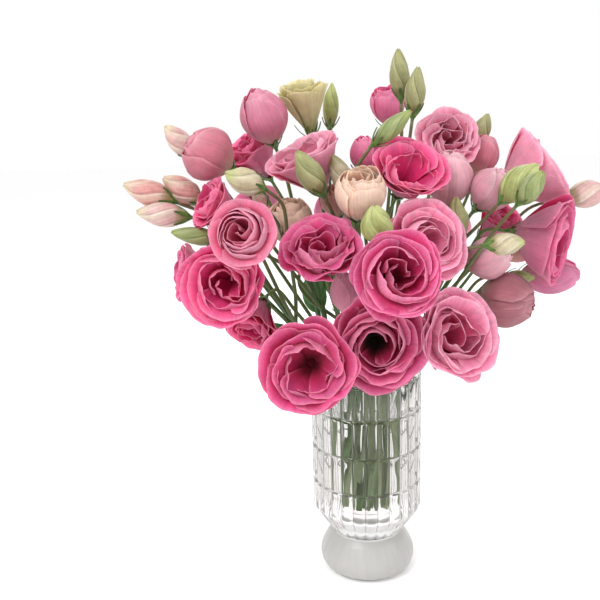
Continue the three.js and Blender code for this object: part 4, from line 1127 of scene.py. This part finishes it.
def vase():
    """The vase: domed foot, waist, fluted wall crossed by cut rings, and a smooth well."""
    heights, widths, depths, slots = vase_rows()
    sides = VASE["flutes"] * POINTS_PER_FLUTE
    turn = 2 * np.pi * np.arange(sides) / sides
    valley = (1 - np.abs(np.cos(0.5 * VASE["flutes"] * turn))) ** 1.4

    # painted shade as dark lines in the flutes' valleys and the cut rings, and broad grey streaks of painted
    # reflection
    cut = np.min([np.abs(heights - band) for band in VASE["bands"]], axis=0)[:, None]
    line = np.maximum(smooth(0.62, 1.0, valley), 0.7 * (1 - smooth(0, 1.6, cut)))
    streak = 0.5 + 0.5 * np.sin(17 * turn + 2.2 * np.sin(5 * turn))
    wall = mix(mix(CLEAR_GLASS, GLASS_STREAK_REFLECTION, 0.45 * streak), GLASS_GROOVE_SHADE, line)
    frost = mix(FROST, FROST_LIGHT, 0.5 + 0.5 * np.sin(3 * turn + 1))
    outside = ((widths > VASE["inner"] + 1) & (slots == DRY))[:, None, None]
    tint = np.where((slots == FROSTY)[:, None, None], frost, np.where(outside, wall, 1.0))
    form = Form()
    lathe(form, widths[:, None] - depths[:, None] * valley, heights, tint, slots[:-1])
    return form.make("vase_glass", VASE_MATERIALS)


def water():
    """The water, which wets the glass, with a meniscus round its edge. Only its surface is seen."""
    bottom, width, cove = VASE["floor"] - WETTING, VASE["inner"] + WETTING, VASE["cove_width"]
    rows = [(bottom, 0.5), (bottom, width - cove)]
    for _, up, inward in quarter(8):
        rows.append((bottom + VASE["cove_height"] * inward, width - cove * (1 - up)))
    hidden = len(rows)
    rows += [(WATER_LEVEL + height, width - inset) for height, inset in MENISCUS]
    rows.append((WATER_LEVEL + MENISCUS[-1][0], 0.5))
    heights, radii = np.array(rows).T
    radii = np.repeat(radii[:, None], WATER_SIDES, axis=1)
    form = Form()
    lathe(form, radii, heights, colour("eef5f0"), [1] * hidden + [0] * len(MENISCUS))
    return form.make("water_still", [WATER, UNSEEN])


def hand_over(piece, node):
    """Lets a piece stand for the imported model's node."""
    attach(piece, "root")
    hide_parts(node)


for head in heads.values():
    if head.kind != "bud":
        hand_over(bloom(head), head.name)
for name in STEMS:
    hand_over(stem(name), name)
hand_over(vase(), "vase")
hand_over(water(), "water")

# ---------------------------------------------------------------- floor, light and camera
FLOOR = 6.0
FLOOR_DROP = 0.0004
floor_mesh = bpy.data.meshes.new("floor")
corners = [(x * FLOOR, y * FLOOR, -FLOOR_DROP) for x, y in ((-1, -1), (1, -1), (1, 1), (-1, 1))]
floor_mesh.from_pydata(corners, [], [(0, 1, 2, 3)])
floor = show("floor", floor_mesh)
paper = Nodes("floor_paper")
plain = paper.surface(Base_Color=(0.985, 0.985, 0.985, 1), Roughness=0.9, Specular_IOR_Level=0.1)
floor_mesh.materials.append(paper.finish(plain))

world = bpy.data.worlds.new("studio")
bpy.context.scene.world = world
world.use_nodes = True
background = world.node_tree.nodes["Background"]
background.inputs["Color"].default_value = (1, 1, 1, 1)
background.inputs["Strength"].default_value = 1.0


def softbox(name, position, target, size, power):
    light = bpy.data.lights.new(name, "AREA")
    light.shape = "RECTANGLE"
    light.size, light.size_y = size
    light.energy = power
    made = show(name, light)
    made.location = position
    made.rotation_euler = (Vector(target) - Vector(position)).to_track_quat("-Z", "Y").to_euler()


softbox("key", (-0.7, -0.9, 1.3), (0, 0, 0.28), (0.7, 0.7), 14)
softbox("fill", (1.1, -0.6, 0.7), (0, 0, 0.25), (0.9, 0.9), 5)
softbox("back", (0.2, 1.2, 0.9), (0, 0, 0.25), (1.2, 0.6), 6)

PICTURE_WIDTH, FOCAL_LENGTH = 600, 761  # in pixels
PITCH, ROLL = rad(13.4), rad(1.6)  # how far the camera looks down, and leans
camera = bpy.data.cameras.new("camera")
camera.sensor_width = 36.0
camera.lens = FOCAL_LENGTH / PICTURE_WIDTH * camera.sensor_width
camera.clip_start = 0.01
eye = show("camera", camera)
ahead = Vector((0, math.cos(PITCH), -math.sin(PITCH)))
right = Vector((1, 0, 0))
above = right.cross(ahead)
turned = Matrix((right, above, -ahead)).transposed() @ Matrix.Rotation(-ROLL, 3, "Z")
eye.matrix_world = Matrix.Translation(Vector(EYE * 0.001)) @ turned.to_4x4()
bpy.context.scene.camera = eye
bpy.context.scene.view_settings.view_transform = "Standard"
